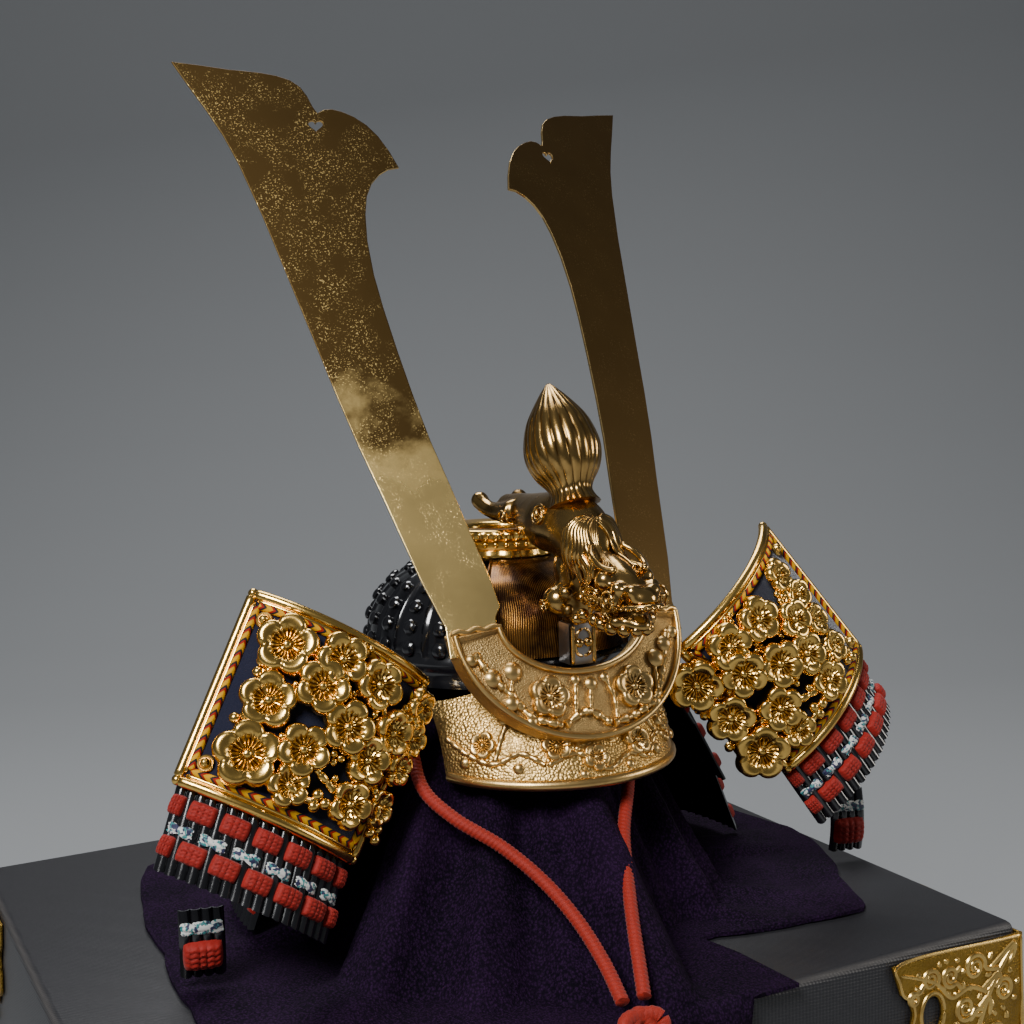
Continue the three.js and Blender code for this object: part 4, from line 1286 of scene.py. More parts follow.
# ------------------------------------------------------------------ cloth
@dataclass
class Drape:
    """The crepe cloth: a cap over the stand, a tent of folds, a skirt and a hanging front."""

    axis: float = 40.0
    thick: float = 1.1
    floor: float = -93.0
    edge: float = -64.9
    cap: Rows = ((2, 10.3), (17, 8.6), (27.4, 0.5), (28.6, -12))
    # compass angle, the tent's foot, the hem's reach on the chest, the drop over its front edge
    table: Rows = ((-180, 66, 108, 0), (-162, 74, 117, 0), (-146, 84, 133, 0), (-137, 88, 180, 0),
                   (-132, 90, 180, 40),
                   (-108, 94, 180, 52), (-92, 94, 180, 46), (-85, 90, 180, 38), (-81, 84, 180, 0),
                   (-69, 62, 72, 0),
                   (-64, 62, 74, 0), (-50, 64, 94, 0), (-42, 64, 110, 0), (-28, 62, 104, 0), (-8, 58, 110, 0),
                   (30, 53, 104, 0), (60, 52, 92, 0), (90, 52, 88, 0), (120, 52, 104, 0), (141, 54, 122, 0),
                   (160, 58, 112, 0), (180, 66, 108, 0))
    folds: Rows = ((8, 5.0, 0.6), (13, 3.4, 2.1), (21, 2.0, 1.0), (34, 0.8, 0.4))

    def wave(self, angle: np.ndarray) -> np.ndarray:
        """How far the folds stand out at each compass angle.

        Args:
            angle: The angle at each place.

        Returns:
            How far the folds stand out.
        """
        waves = 0.0
        for count, depth, phase in self.folds:
            turned = count * np.radians(angle) + phase
            waves = waves + depth * (np.cos(turned) + 0.3 * np.cos(2 * turned + 0.5))
        return waves

    def surface(self, u: np.ndarray, v: np.ndarray) -> np.ndarray:
        """The cloth's middle: u round the stand, v from the top of its head to the hem.

        Args:
            u: The share across or round, from 0 to 1.
            v: The share along or down, from 0 to 1.

        Returns:
            The points.
        """
        angle = -180 + 360 * u
        angles, foot, hem, drop = (np.array(column) for column in zip(*self.table))
        edge_reach = np.where(angle < 0,
                              (self.edge - self.axis) / np.minimum(np.sin(np.radians(angle)), -1e-3), 1e9)
        reach = np.minimum(np.interp(angle, angles, hem), edge_reach)
        foot = np.minimum(np.interp(angle, angles, foot), reach - 8)
        drop = np.interp(angle, angles, drop)
        wave = self.wave(angle)
        lift = np.maximum(wave, 0) * 0.5
        cap = smooth(0.0, 0.12, v) * 0 + np.clip(v / 0.12, 0, 1) * 3
        tent = np.clip((v - 0.12) / 0.38, 0, 1)
        skirt = np.clip((v - 0.5) / 0.3, 0, 1)
        hang = np.clip((v - 0.8) / 0.2, 0, 1)
        cap_r, cap_z = zip(*self.cap)
        r = np.interp(cap, range(4), cap_r)
        z = np.interp(cap, range(4), cap_z)
        spread = tent ** 1.35
        radial = r + (foot - r) * spread + wave * np.minimum(1, tent * 1.6) * (1 - skirt)
        height = z + (self.floor + lift - z) * tent
        out = skirt
        radial = np.where(v > 0.5, foot + wave * (1 - out) + (reach - foot - wave * 0) * out, radial)
        height = np.where(v > 0.5, self.floor + lift * (1 - out) + 0.5 * np.abs(np.sin(angle * 0.21)) * out,
                          height)
        x = radial * np.cos(np.radians(angle))
        y = self.axis + radial * np.sin(np.radians(angle))
        down = drop * hang
        falls = hang > 0
        ripple_out = np.sin(x * 0.16) * np.minimum(1, down / 18) * 1.1
        y = np.where(falls & (drop > 0),
                     self.edge - np.minimum(1.6, down * 0.5) - np.maximum(ripple_out, -0.8), y)
        height = np.where(falls, self.floor - down, height)
        x = x + np.where(falls, hang * np.cos(np.radians(angle)) * np.where(drop > 0, 0, 1.2), 0)
        y = y + np.where(falls & (drop <= 0), hang * np.sin(np.radians(angle)) * 1.2, 0)
        points = stack(x, y, height)
        crinkle = (ripple(points, 5.0, 1.7) * 0.35 + ripple(points, 13.0, 4.1) * 0.7) * smooth(0.1, 0.25, v)
        away = stack(np.cos(np.radians(angle)), np.sin(np.radians(angle)), np.full_like(angle, 0.6))
        return points + away * np.maximum(crinkle, -0.2)[:, None]

    def build(self) -> None:
        cloth = Bench.grid("crepe_cloth", self.surface, 280, 84)
        Bench.edit(cloth, ("remove_doubles", {"threshold": 2e-5}))
        Bench.wall(cloth, self.thick)
        Bench.deliver(cloth, Finish.CREPE.material, "purple_crepe", "drape_cloth", angle=80)


# ------------------------------------------------------------------ chest
@dataclass
class Chest:
    """The armour chest: body, lid and the four stamped corner plates."""

    reach: float = 50.0
    drop: float = 54.0
    thick: float = 0.9
    round: float = 2.6
    board: float = 4.0

    def box(self, name: str, node: str, open_top: bool) -> bpy.types.Object:
        """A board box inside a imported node's limits, open on one side, with soft edges.

        Args:
            name: The new piece's name.
            node: The solid whose place and size it takes.
            open_top: Whether it opens upwards.

        Returns:
            The box.
        """
        low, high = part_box(node)
        top = high.z
        if node == "chest_body":
            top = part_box("chest_lid")[0].z - 0.4 * MM
        size = (high.x - low.x, high.y - low.y, top - low.z)
        middle = ((high.x + low.x) / 2, (high.y + low.y) / 2, (top + low.z) / 2)
        obj = Bench.primitive("cube", name, size=1.0, location=middle, scale=size)
        bpy.ops.object.transform_apply(location=True, rotation=False, scale=True)
        if node == "chest_lid":
            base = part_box("chest_lid")[1].z - 60 * MM
            co = Bench.points(obj)
            co[co[:, 2] < middle[2], 2] = base
            Bench.move(obj, co)
        Bench.modify(obj, "BEVEL", width=self.round * MM, segments=4, limit_method="ANGLE", angle_limit=0.6)
        facing = 1.0 if open_top else -1.0
        Bench.delete_face(obj, max(obj.data.polygons, key=lambda p: p.normal.z * facing + p.area).index)
        Bench.modify(obj, "SOLIDIFY", thickness=self.board * MM, offset=-1.0, use_even_offset=True)
        return obj

    def leg(self, side: str) -> bpy.types.Object:
        """One leg of a corner plate in its own plane: the corner at 0, 0, running to -x and down.

        Args:
            side: Which leg it is.

        Returns:
            The leg.
        """
        reach, drop = self.reach, self.drop
        steps = [(0.0, 1.0), (0.08, 0.99), (0.16, 0.96), (0.17, 0.89), (0.22, 0.84), (0.33, 0.83),
                 (0.4, 0.76), (0.42, 0.67),
                 (0.5, 0.62), (0.6, 0.62), (0.68, 0.56), (0.71, 0.5), (0.79, 0.5), (0.85, 0.45),
                 (0.87, 0.36), (0.85, 0.28),
                 (0.88, 0.2), (0.94, 0.16), (0.97, 0.08), (1.0, 0.0)]
        outline = [(0.0, 0.0)] + [(-reach * a, -drop * d) for a, d in steps]
        turns = np.linspace(0, 2 * np.pi, 24, endpoint=False)
        hole = [(-35 + 3.4 * math.cos(t), -17 + 5.4 * math.sin(t)) for t in turns]
        plate = Bench.plate(f"leg_{side}", outline, [hole], self.thick, 0.2)
        scrolls = [plate]
        for route in self.vines():
            line = curve_through([(x, -self.thick * 0.5, z) for x, z in route], 0.75)
            whole = len(line) * 0.75
            taper = lambda u, s, n=whole: np.interp(s, [0, 0.5 * n, n], [0.85, 0.8, 0.5])
            scrolls.append(Bench.tube("vine", line, taper, 8, (0, -1, 0), 0.75, seat=False))
        rim = [(x * 0.965 - 0.6, -self.thick * 0.5, z * 0.965 - 0.7) for x, z in outline]
        scrolls.append(Bench.tube("edge", curve_through([*rim, rim[0]], 1.0), 0.5, 6, (0, -1, 0), 0.8,
                                  seat=False))
        eye = [(-35 + 4.4 * math.cos(t), -self.thick * 0.5, -17 + 6.5 * math.sin(t)) for t in [*turns, 0.0]]
        scrolls.append(Bench.tube("eye", curve_through(eye, 0.8), 0.55, 8, (0, -1, 0), 0.8, seat=False))
        for piece in scrolls[1:]:
            piece.data.materials.append(Finish.BRASS.material)
        return Bench.join(f"leg_{side}", scrolls)

    def vines(self) -> list[list[tuple[float, float]]]:
        """The stamped vine: stems that rise to the corner and curl on both sides.

        Returns:
            The vine's lines.
        """
        stem = [(-3, -2), (-9.5, -9.7), (-13.5, -16), (-17, -24), (-20, -31), (-16, -40), (-7, -50)]
        routes = [stem, [(-14, -15), (-21, -12), (-28, -13.5), (-34, -8), (-41, -5), (-47, -3)]]
        # centre, reach, the way it turns, where it leaves the stem
        curls = ((-19, -6.5, 3.6, 1, -9, -9), (-36, -6.6, 2.8, 1, -30, -11),
                 (-28.5, -7.2, 2.8, -1, -24, -12.5),
                 (-22.6, -18, 3.4, -1, -15, -20), (-10.6, -28, 3.4, 1, -18, -26),
                 (-7.6, -15.6, 3.2, -1, -12, -13),
                 (-5.5, -40, 3.0, -1, -14, -41), (-28, -26.5, 2.8, 1, -20, -30),
                 (-12.5, -36, 2.4, 1, -19, -34),
                 (-42, -11, 1.8, 1, -38, -7), (-20.5, -39.5, 2.2, -1, -17, -37))
        for x, z, reach, way, x0, z0 in curls:
            turns = np.linspace(0, 2.1 * 2 * np.pi, 36)
            shrink = np.linspace(1.12, 0.1, 36) * reach
            first = math.atan2(z0 - z, (x0 - x) * way)
            routes.append([(x0, z0)] + [(x + way * s * math.cos(first + t), z + s * math.sin(first + t))
                                        for t, s in zip(turns, shrink)])
            for k in range(7):
                a = first + k * 0.9 + 0.4
                leaf = [(x + reach * s * math.cos(a + b), z + reach * s * math.sin(a + b)) for s,
                        b in ((1.5, 0), (2.1, 0.3))]
                if all(self.inside(*point) for point in leaf):
                    routes.append(leaf)
        for (x0, z0), (x1, z1) in zip(stem, stem[1:]):
            for side in (-1, 1):
                leaf = [(x0, z0), (x0 + (x1 - x0) * 0.5 + side * 2.6, z0 + (z1 - z0) * 0.45),
                        (x1 + side * 3.8, z1 + 1.5)]
                if all(self.inside(*point) for point in leaf):
                    routes.append(leaf)
        return routes

    def inside(self, x: float, z: float) -> bool:
        """Whether a place is well inside the plate and clear of its hole.

        Args:
            x: The place across.
            z: The place up.

        Returns:
            Whether it is.
        """
        shares, depths = zip((0, 1), (0.17, 0.86), (0.3, 0.81), (0.42, 0.62), (0.6, 0.56), (0.72, 0.46),
                             (0.86, 0.2), (1, 0))
        limit = np.interp(-x / self.reach, shares, depths) * self.drop - 2.2
        return x < -1.2 and -limit < z < -1.2 and math.hypot(x + 35, (z + 17) * 0.7) > 5.6

    def plate(self, across: str, depth: str) -> None:
        """Puts one corner plate together from its two legs and seats it on its corner.

        Args:
            across: Left or right.
            depth: Front or back.
        """
        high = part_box("chest_lid")[1]
        sx = 1 if across == "right" else -1
        sy = 1 if depth == "back" else -1
        x, y = (high.x + 0.3 * MM) / MM, (high.y + 0.3 * MM) / MM
        pieces = []
        for facing in ("front", "side"):
            leg = self.leg(f"{depth}_{across}_{facing}")
            co = Bench.points(leg)
            if facing == "front":
                co = stack(sx * (co[:, 0] + x + self.thick), sy * (y + self.thick / 2 - co[:, 1]),
                           co[:, 2])
            else:
                co = stack(sx * (x + self.thick / 2 - co[:, 1]), sy * (co[:, 0] + y + self.thick * 0.5),
                           co[:, 2])
            co[:, 2] += (high.z - 3.0 * MM) / MM
            Bench.move(leg, co * MM)
            pieces.append(leg)
        plate = Bench.join(f"stamped_plate_{depth}_{across}", pieces)
        Bench.edit(plate, ("normals_make_consistent", {"inside": False}))
        names = [slot.material.name if slot.material else "" for slot in plate.material_slots]
        smooth_index = [i for i, n in enumerate(names) if n == Finish.BRASS.value.name]
        for polygon in plate.data.polygons:
            brass = polygon.material_index in smooth_index and smooth_index[0] > 0
            polygon.material_index = 1 if brass else 0
        Bench.deliver(plate, [Finish.BRASS_GROUND.material, Finish.BRASS.material], "stamped_brass",
                      f"corner_plate_{depth}_{across}")

    def build(self) -> None:
        """Makes the body, the lid and the four plates."""
        for name, node, opens in (("chest_case", "chest_body", True), ("chest_cover", "chest_lid", False)):
            Bench.deliver(self.box(name, node, opens), Finish.CHEST.material, "leatherette", node, angle=30)
        for depth in ("front", "back"):
            for across in ("left", "right"):
                self.plate(across, depth)
        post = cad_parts["stand_post"]
        post.data.materials.clear()
        post.data.materials.append(Finish.WOOD.material)


# ------------------------------------------------------------------ blossoms
@dataclass(frozen=True)
class Blossom:
    """A five-petalled plum blossom modelled once round the origin, one unit in radius."""

    petal_centre: float = 0.52
    petal: float = 0.48
    tall: float = 0.3
    cup: float = 0.1
    stamens: int = 15

    def outline(self, angle: np.ndarray) -> np.ndarray:
        """How far the petals reach at each angle.

        Args:
            angle: The angle at each place.

        Returns:
            The reach at each angle.
        """
        away = (angle + np.pi / 5) % (2 * np.pi / 5) - np.pi / 5
        inside = np.maximum(self.petal ** 2 - (self.petal_centre * np.sin(away)) ** 2, 0.0)
        return self.petal_centre * np.cos(away) + np.sqrt(inside)

    def surface(self, u: np.ndarray, v: np.ndarray) -> np.ndarray:
        """The blossom's skin: v from its middle over the rim and back under.

        Args:
            u: The share across or round, from 0 to 1.
            v: The share along or down, from 0 to 1.

        Returns:
            The points.
        """
        angle = 2 * np.pi * u
        reach = self.outline(angle)
        away = (angle + np.pi / 5) % (2 * np.pi / 5) - np.pi / 5
        share = np.clip(v / 0.86, 0, 1)
        r = reach * share
        bowl = self.cup * smooth(0.3, 0.85, share)
        dome = 0.07 * smooth(0.42, 0.6, r) * (1 - smooth(0.75, 1.0, share))
        valley = -0.1 * np.exp(-((np.abs(away) - np.pi / 5) / 0.06) ** 2) * smooth(0.35, 0.6, r)
        threads = 0.045 * np.cos(self.stamens * angle) * smooth(0.17, 0.24, r) * (1 - smooth(0.46, 0.5, r))
        tips = 0.09 * np.exp(-((r - 0.48) / 0.035) ** 2) * np.maximum(np.cos(self.stamens * angle), 0)
        button = 0.1 * np.sqrt(np.clip(1 - (r / 0.14) ** 2, 0, 1)) - 0.05 * np.exp(-((r - 0.17) / 0.03) ** 2)
        z = self.tall * 0.72 + bowl + dome + valley + threads + tips + button
        z = z - smooth(0.9, 1.0, share) ** 2 * self.tall * 0.5
        under = v > 0.86
        r = np.where(under, reach * np.clip(1 - (v - 0.93) / 0.07, 0, 1), r)
        z = np.where(under, 0.0, z)
        return stack(r * np.cos(angle), r * np.sin(angle), z)

    def piece(self, around: int = 60, rows: int = 15) -> bpy.types.Object:
        """The blossom as a mesh."""
        return Bench.shell("blossom", self.surface, around, rows, seat=False)


def upright(point: Sequence[float], normal: Sequence[float], scale: Sequence[float],
            spin: float) -> np.ndarray:
    """A matrix that stands a copy on a point, up its normal, in metres from millimetres.

    Args:
        point: The place, in the helmet's frame.
        normal: The direction that it faces.
        scale: Its size across and up, in millimetres.
        spin: How far it is turned round its normal, in radians.

    Returns:
        The 4 by 4 matrix.
    """
    up = np.array(normal, float)
    up /= np.linalg.norm(up)
    side = np.cross([0, 0, 1.0], up)
    side = np.array([1.0, 0, 0]) if np.linalg.norm(side) < 1e-6 else side / np.linalg.norm(side)
    other = np.cross(up, side)
    a = side * math.cos(spin) + other * math.sin(spin)
    b = np.cross(up, a)
    matrix = np.eye(4)
    matrix[:3, 0], matrix[:3, 1], matrix[:3, 2] = a * scale[0] * MM, b * scale[0] * MM, up * scale[1] * MM
    matrix[:3, 3] = SEAT.world(np.array(point))
    return matrix


def dome(name: str, rows: int = 5, around: int = 12, power: float = 2.0) -> bpy.types.Object:
    """A flat-footed dome of unit radius and height, round the origin.

    Args:
        name: The new object's name.
        rows: Cells from foot to top.
        around: Cells round it.
        power: How flat its top is.

    Returns:
        The dome.
    """
    def surface(u: np.ndarray, v: np.ndarray) -> np.ndarray:
        """The dome's skin, closed underneath.

        Args:
            u: The share across or round, from 0 to 1.
            v: The share along or down, from 0 to 1.

        Returns:
            The points.
        """
        angle = 2 * np.pi * u
        share = np.clip(v / 0.8, 0, 1)
        r = np.where(v <= 0.8, share, np.clip(1 - (v - 0.8) / 0.2, 0, 1))
        z = np.where(v <= 0.8, (1 - share ** power) ** (1 / power), 0.0)
        return stack(r * np.cos(angle), r * np.sin(angle), z)
    return Bench.shell(name, surface, around, rows, seat=False)


# ------------------------------------------------------------------ bowl
@dataclass
class Bowl:
    """The lacquered bowl of 24 plates, its studs, crown ring and front plate."""

    axis: float = 40.0
    plates: int = 24
    profile: Rows = ((9, 14), (20, 13.2), (27, 10.5), (33, 7), (37.5, 2), (40.2, -3), (41.3, -8), (41.5, -13))
    # foot circle radius, height, stud radius, the angle that it points above level
    studs: Rows = ((41.0, -9.6, 2.65, 5), (40.2, -3.6, 2.5, 20), (37.7, 2.0, 2.35, 36), (33.6, 6.6, 2.1, 52),
                   (28.2, 10.0, 1.8, 64))
    front: float = 34.0

    def height_profile(self, v: np.ndarray) -> tuple[np.ndarray, np.ndarray]:
        """Radius and height down the bowl, from the crown to the rim.

        Args:
            v: The share along or down, from 0 to 1.

        Returns:
            The radius and the height.
        """
        line = curve_through([(r, 0.0, z) for r, z in self.profile], 0.5)
        share = np.linspace(0, 1, len(line))
        return np.interp(v, share, line[:, 0]), np.interp(v, share, line[:, 2])

    def surface(self, u: np.ndarray, v: np.ndarray) -> np.ndarray:
        """The bowl's outside, with a raised rib on each plate's edge and a turned hanging band.

        Args:
            u: The share across or round, from 0 to 1.
            v: The share along or down, from 0 to 1.

        Returns:
            The points.
        """
        angle = 2 * np.pi * u - np.pi / 2
        r, z = self.height_profile(np.clip(v / 0.84, 0, 1))
        seam = np.abs((u * self.plates) % 1.0 - 0.5) * 2
        rib = 0.85 * smooth(0.86, 0.97, seam) * smooth(0.2, 0.34, v) * (1 - smooth(0.8, 0.84, v))
        pillow = 0.25 * (1 - seam ** 2) * smooth(0.2, 0.4, v)
        band = np.clip((v - 0.84) / 0.16, 0, 1)
        r = r + rib + pillow * (band <= 0)
        r = np.where(band > 0, 42.9 + 0.5 * np.cos(band * 2 * np.pi * 1.0), r)
        z = np.where(band > 0, -13.3 - band * 6.7, z)
        return stack(r * np.cos(angle), self.axis + r * np.sin(angle), z)

    def shell(self) -> bpy.types.Object:
        """The bowl's shell and its studs, in one piece.

        Returns:
            The piece.
        """
        skin = Bench.grid("skin", self.surface, self.plates * 10, 44)
        Bench.edit(skin, ("remove_doubles", {"threshold": 1e-6}),
                   ("normals_make_consistent", {"inside": False}))
        Bench.wall(skin, 1.3, -1.0)
        places = []
        for k in range(self.plates):
            angle = -90 + (k + 0.5) * 360 / self.plates
            if abs((angle + 90 + 180) % 360 - 180) < self.front + 3:
                continue
            a = math.radians(angle)
            for r, z, foot, pitch in self.studs:
                p = math.radians(pitch)
                point = (r * math.cos(a), self.axis + r * math.sin(a), z)
                normal = (math.cos(a) * math.cos(p), math.sin(a) * math.cos(p), math.sin(p))
                places.append(upright(point, normal, (foot, foot * 0.82), 0.0))
        studs = Bench.copies("studs", dome("stud", 7, 18, 2.4), places)
        return Bench.join("lacquered_bowl", [skin, studs])

    def ring(self) -> bpy.types.Object:
        """The crown's stepped ring with its row of petals and beads.

        Returns:
            The piece.
        """
        steps = [(10.4, 14.6), (20.2, 13.9), (20.6, 15.0), (20.0, 16.6), (18.6, 17.0), (18.4, 19.4),
                 (19.6, 20.2),
                 (19.7, 21.6), (18.8, 22.7), (15.6, 22.9), (11.2, 22.4), (10.2, 21.6), (10.4, 14.6)]
        line = np.array(steps)
        share = np.linspace(0, 1, len(line))

        def surface(u: np.ndarray, v: np.ndarray) -> np.ndarray:
            """The ring's closed section carried round, with petals on its foot and a milled top edge.

            Args:
                u: The share across or round, from 0 to 1.
                v: The share along or down, from 0 to 1.

            Returns:
                The points.
            """
            angle = 2 * np.pi * u
            r = np.interp(v, share, line[:, 0])
            z = np.interp(v, share, line[:, 1])
            petal = 0.55 * np.abs(np.cos(angle * 10)) * ((z < 16.8) & (r > 18))
            mill = 0.25 * np.cos(angle * 40) * ((z > 19.8) & (z < 22) & (r > 18))
            return stack((r + petal + mill) * np.cos(angle), self.axis + (r + petal + mill) * np.sin(angle),
                         z + 0.2)

        ring = Bench.shell("ring", surface, 200, 40)
        places = []
        for k in range(36):
            a = 2 * math.pi * k / 36
            point = (18.5 * math.cos(a), self.axis + 18.5 * math.sin(a), 18.5)
            places.append(upright(point, (math.cos(a), math.sin(a), 0), (0.95, 0.8), 0.0))
        return Bench.join("gilt_crown_ring", [ring, Bench.copies("beads", dome("bead", 5, 12), places)])

    def face(self) -> bpy.types.Object:
        """The plate over the bowl's front, with a raised edge.

        Returns:
            The piece.
        """
        def surface(u: np.ndarray, v: np.ndarray) -> np.ndarray:
            """The plate's outside: u across, v from the crown to the rim.

            Args:
                u: The share across or round, from 0 to 1.
                v: The share along or down, from 0 to 1.

            Returns:
                The points.
            """
            angle = np.radians(-90 + (u * 2 - 1) * self.front)
            r, z = self.height_profile(0.24 + 0.73 * v)
            rim = 0.45 * np.maximum(smooth(0.955, 0.985, np.abs(u * 2 - 1)), smooth(0.97, 0.99, v))
            lift = 1.15 + rim
            return stack((r + lift) * np.cos(angle), self.axis + (r + lift) * np.sin(angle),
                         z + lift * (1 - v) * 0.8)

        plate = Bench.grid("engraved_front_plate", surface, 120, 44)
        return Bench.wall(plate, 0.7)

    def build(self) -> None:
        """Makes the bowl, the ring and the front plate."""
        Bench.deliver(self.shell(), Finish.BLACK.material, "black_lacquer", "helmet_bowl", angle=50)
        Bench.deliver(self.ring(), Finish.CAST.material, "cast_gold", "crown_ring", angle=50)
        Bench.deliver(self.face(), Finish.AMBER.material, "amber_lacquer", "front_plate", angle=50)


# ------------------------------------------------------------------ visor and horn holder
@dataclass
class Visor:
    """The gilt peak: a beaded band with raised blossoms, branches and a smooth rolled lip."""

    top: tuple[float, float, float, float] = (40.0, 44.2, -19.4, 56.0)
    low: tuple[float, float, float, float] = (14.0, 38.0, -43.0, 74.0)
    lip: float = 1.55
    # turn from the front, share of the way down, radius
    flowers: Rows = ((-52, 0.6, 4.2), (-20, 0.64, 4.6), (-4, 0.78, 4.2), (20, 0.7, 5.0), (46, 0.58, 4.6))
    buds: Rows = ((-62, 0.8, 1.9), (-40, 0.35, 2.0), (-38, 0.84, 1.8), (-30, 0.5, 1.6), (6, 0.6, 1.9),
                  (31, 0.84, 2.0),
                  (34, 0.42, 1.7), (58, 0.82, 2.0), (60, 0.4, 1.8), (-11, 0.92, 1.5), (12, 0.9, 1.6))
    branches: tuple = (((-70, 0.5), (-60, 0.7), (-48, 0.8), (-36, 0.7), (-26, 0.82)),
                       ((-26, 0.82), (-12, 0.72), (0, 0.9), (14, 0.8), (24, 0.9)),
                       ((24, 0.9), (36, 0.7), (48, 0.82), (60, 0.62), (70, 0.5)),
                       ((-48, 0.8), (-42, 0.5), (-36, 0.3)), ((36, 0.7), (32, 0.5), (36, 0.32)),
                       ((-12, 0.72), (-8, 0.5), (0, 0.4)))

    def point(self, share: np.ndarray, down: np.ndarray) -> np.ndarray:
        """A point on the peak: share from -1 to 1 across, down from the bowl to the lip.

        Args:
            share: The share across.
            down: How far down.

        Returns:
            The point.
        """
        y0, r0, z0, half0 = self.top
        y1, r1, z1, half1 = self.low
        a0, a1 = np.radians(-90 + share * half0), np.radians(-90 + share * half1)
        belly = 1.5 * np.sin(np.pi * down)
        x = r0 * np.cos(a0) * (1 - down) + r1 * np.cos(a1) * down
        y = (y0 + r0 * np.sin(a0)) * (1 - down) + (y1 + r1 * np.sin(a1)) * down - belly
        sag = 4.5 * smooth(0.45, 1.0, np.abs(share)) * (1 - down)
        return stack(x, y, z0 * (1 - down) + z1 * down + belly * 0.6 - sag)

    def normal(self, share: float, down: float) -> np.ndarray:
        """The outward direction at a point on the peak.

        Args:
            share: The share across.
            down: How far down.

        Returns:
            The direction.
        """
        step = 1e-3
        s, d = np.array([share]), np.array([down])
        across = self.point(s + step, d) - self.point(s - step, d)
        along = self.point(s, d + step) - self.point(s, d - step)
        out = np.cross(across, along)[0]
        out /= np.linalg.norm(out)
        return out if out[1] < 0 else -out

    def on(self, turned: float, down: float, lift: float) -> tuple[np.ndarray, np.ndarray]:
        """A raised place on the peak, and the direction that it faces.

        Args:
            turned: The turn round the peak.
            down: How far down.
            lift: How far it is raised.

        Returns:
            The place and its direction.
        """
        share = turned / self.low[3]
        normal = self.normal(share, down)
        return self.point(np.array([share]), np.array([down]))[0] + normal * lift, normal

    def build(self) -> None:
        """Makes the peak with its relief and its lip."""
        ground = Bench.grid("ground", lambda u, v: self.point(u * 2 - 1, v), 90, 26)
        Bench.wall(ground, 1.3)
        ground.data.materials.append(Finish.GROUND.material)
        lip_line = self.point(np.linspace(-1, 1, 120), np.full(120, 1.0))
        raised = [Bench.tube("lip", lip_line, self.lip, 14)]
        back = self.point(np.linspace(-1, 1, 90), np.full(90, 0.06))
        raised.append(Bench.tube("seam", back, 0.7, 8))
        places = []
        for k, (turned, down, radius) in enumerate(self.flowers):
            point, normal = self.on(turned, down, 0.35)
            places.append(upright(point, normal, (radius, radius * 1.0), k * 0.5))
        raised.append(Bench.copies("flowers", Blossom(tall=0.3).piece(60, 18), places))
        places = [upright(*self.on(t, d, 0.4), (r, r * 0.85), 0.0) for t, d, r in self.buds]
        raised.append(Bench.copies("buds", dome("bud", 6, 14), places))
        for branch in self.branches:
            line = curve_through([self.on(t, d, 0.75)[0] for t, d in branch], 0.7)
            knots = lambda u, s: 0.85 * (1 + 0.22 * np.sin(s * 1.9) + 0.15 * np.sin(s * 4.3 + 1))
            raised.append(Bench.tube("branch", line, knots, 8))
        for piece in raised:
            piece.data.materials.append(Finish.PALE.material)
        peak = Bench.join("gilt_visor", [ground, *raised])
        Bench.deliver(peak, [Finish.GROUND.material, Finish.PALE.material], "pale_gilt", "visor", angle=45)


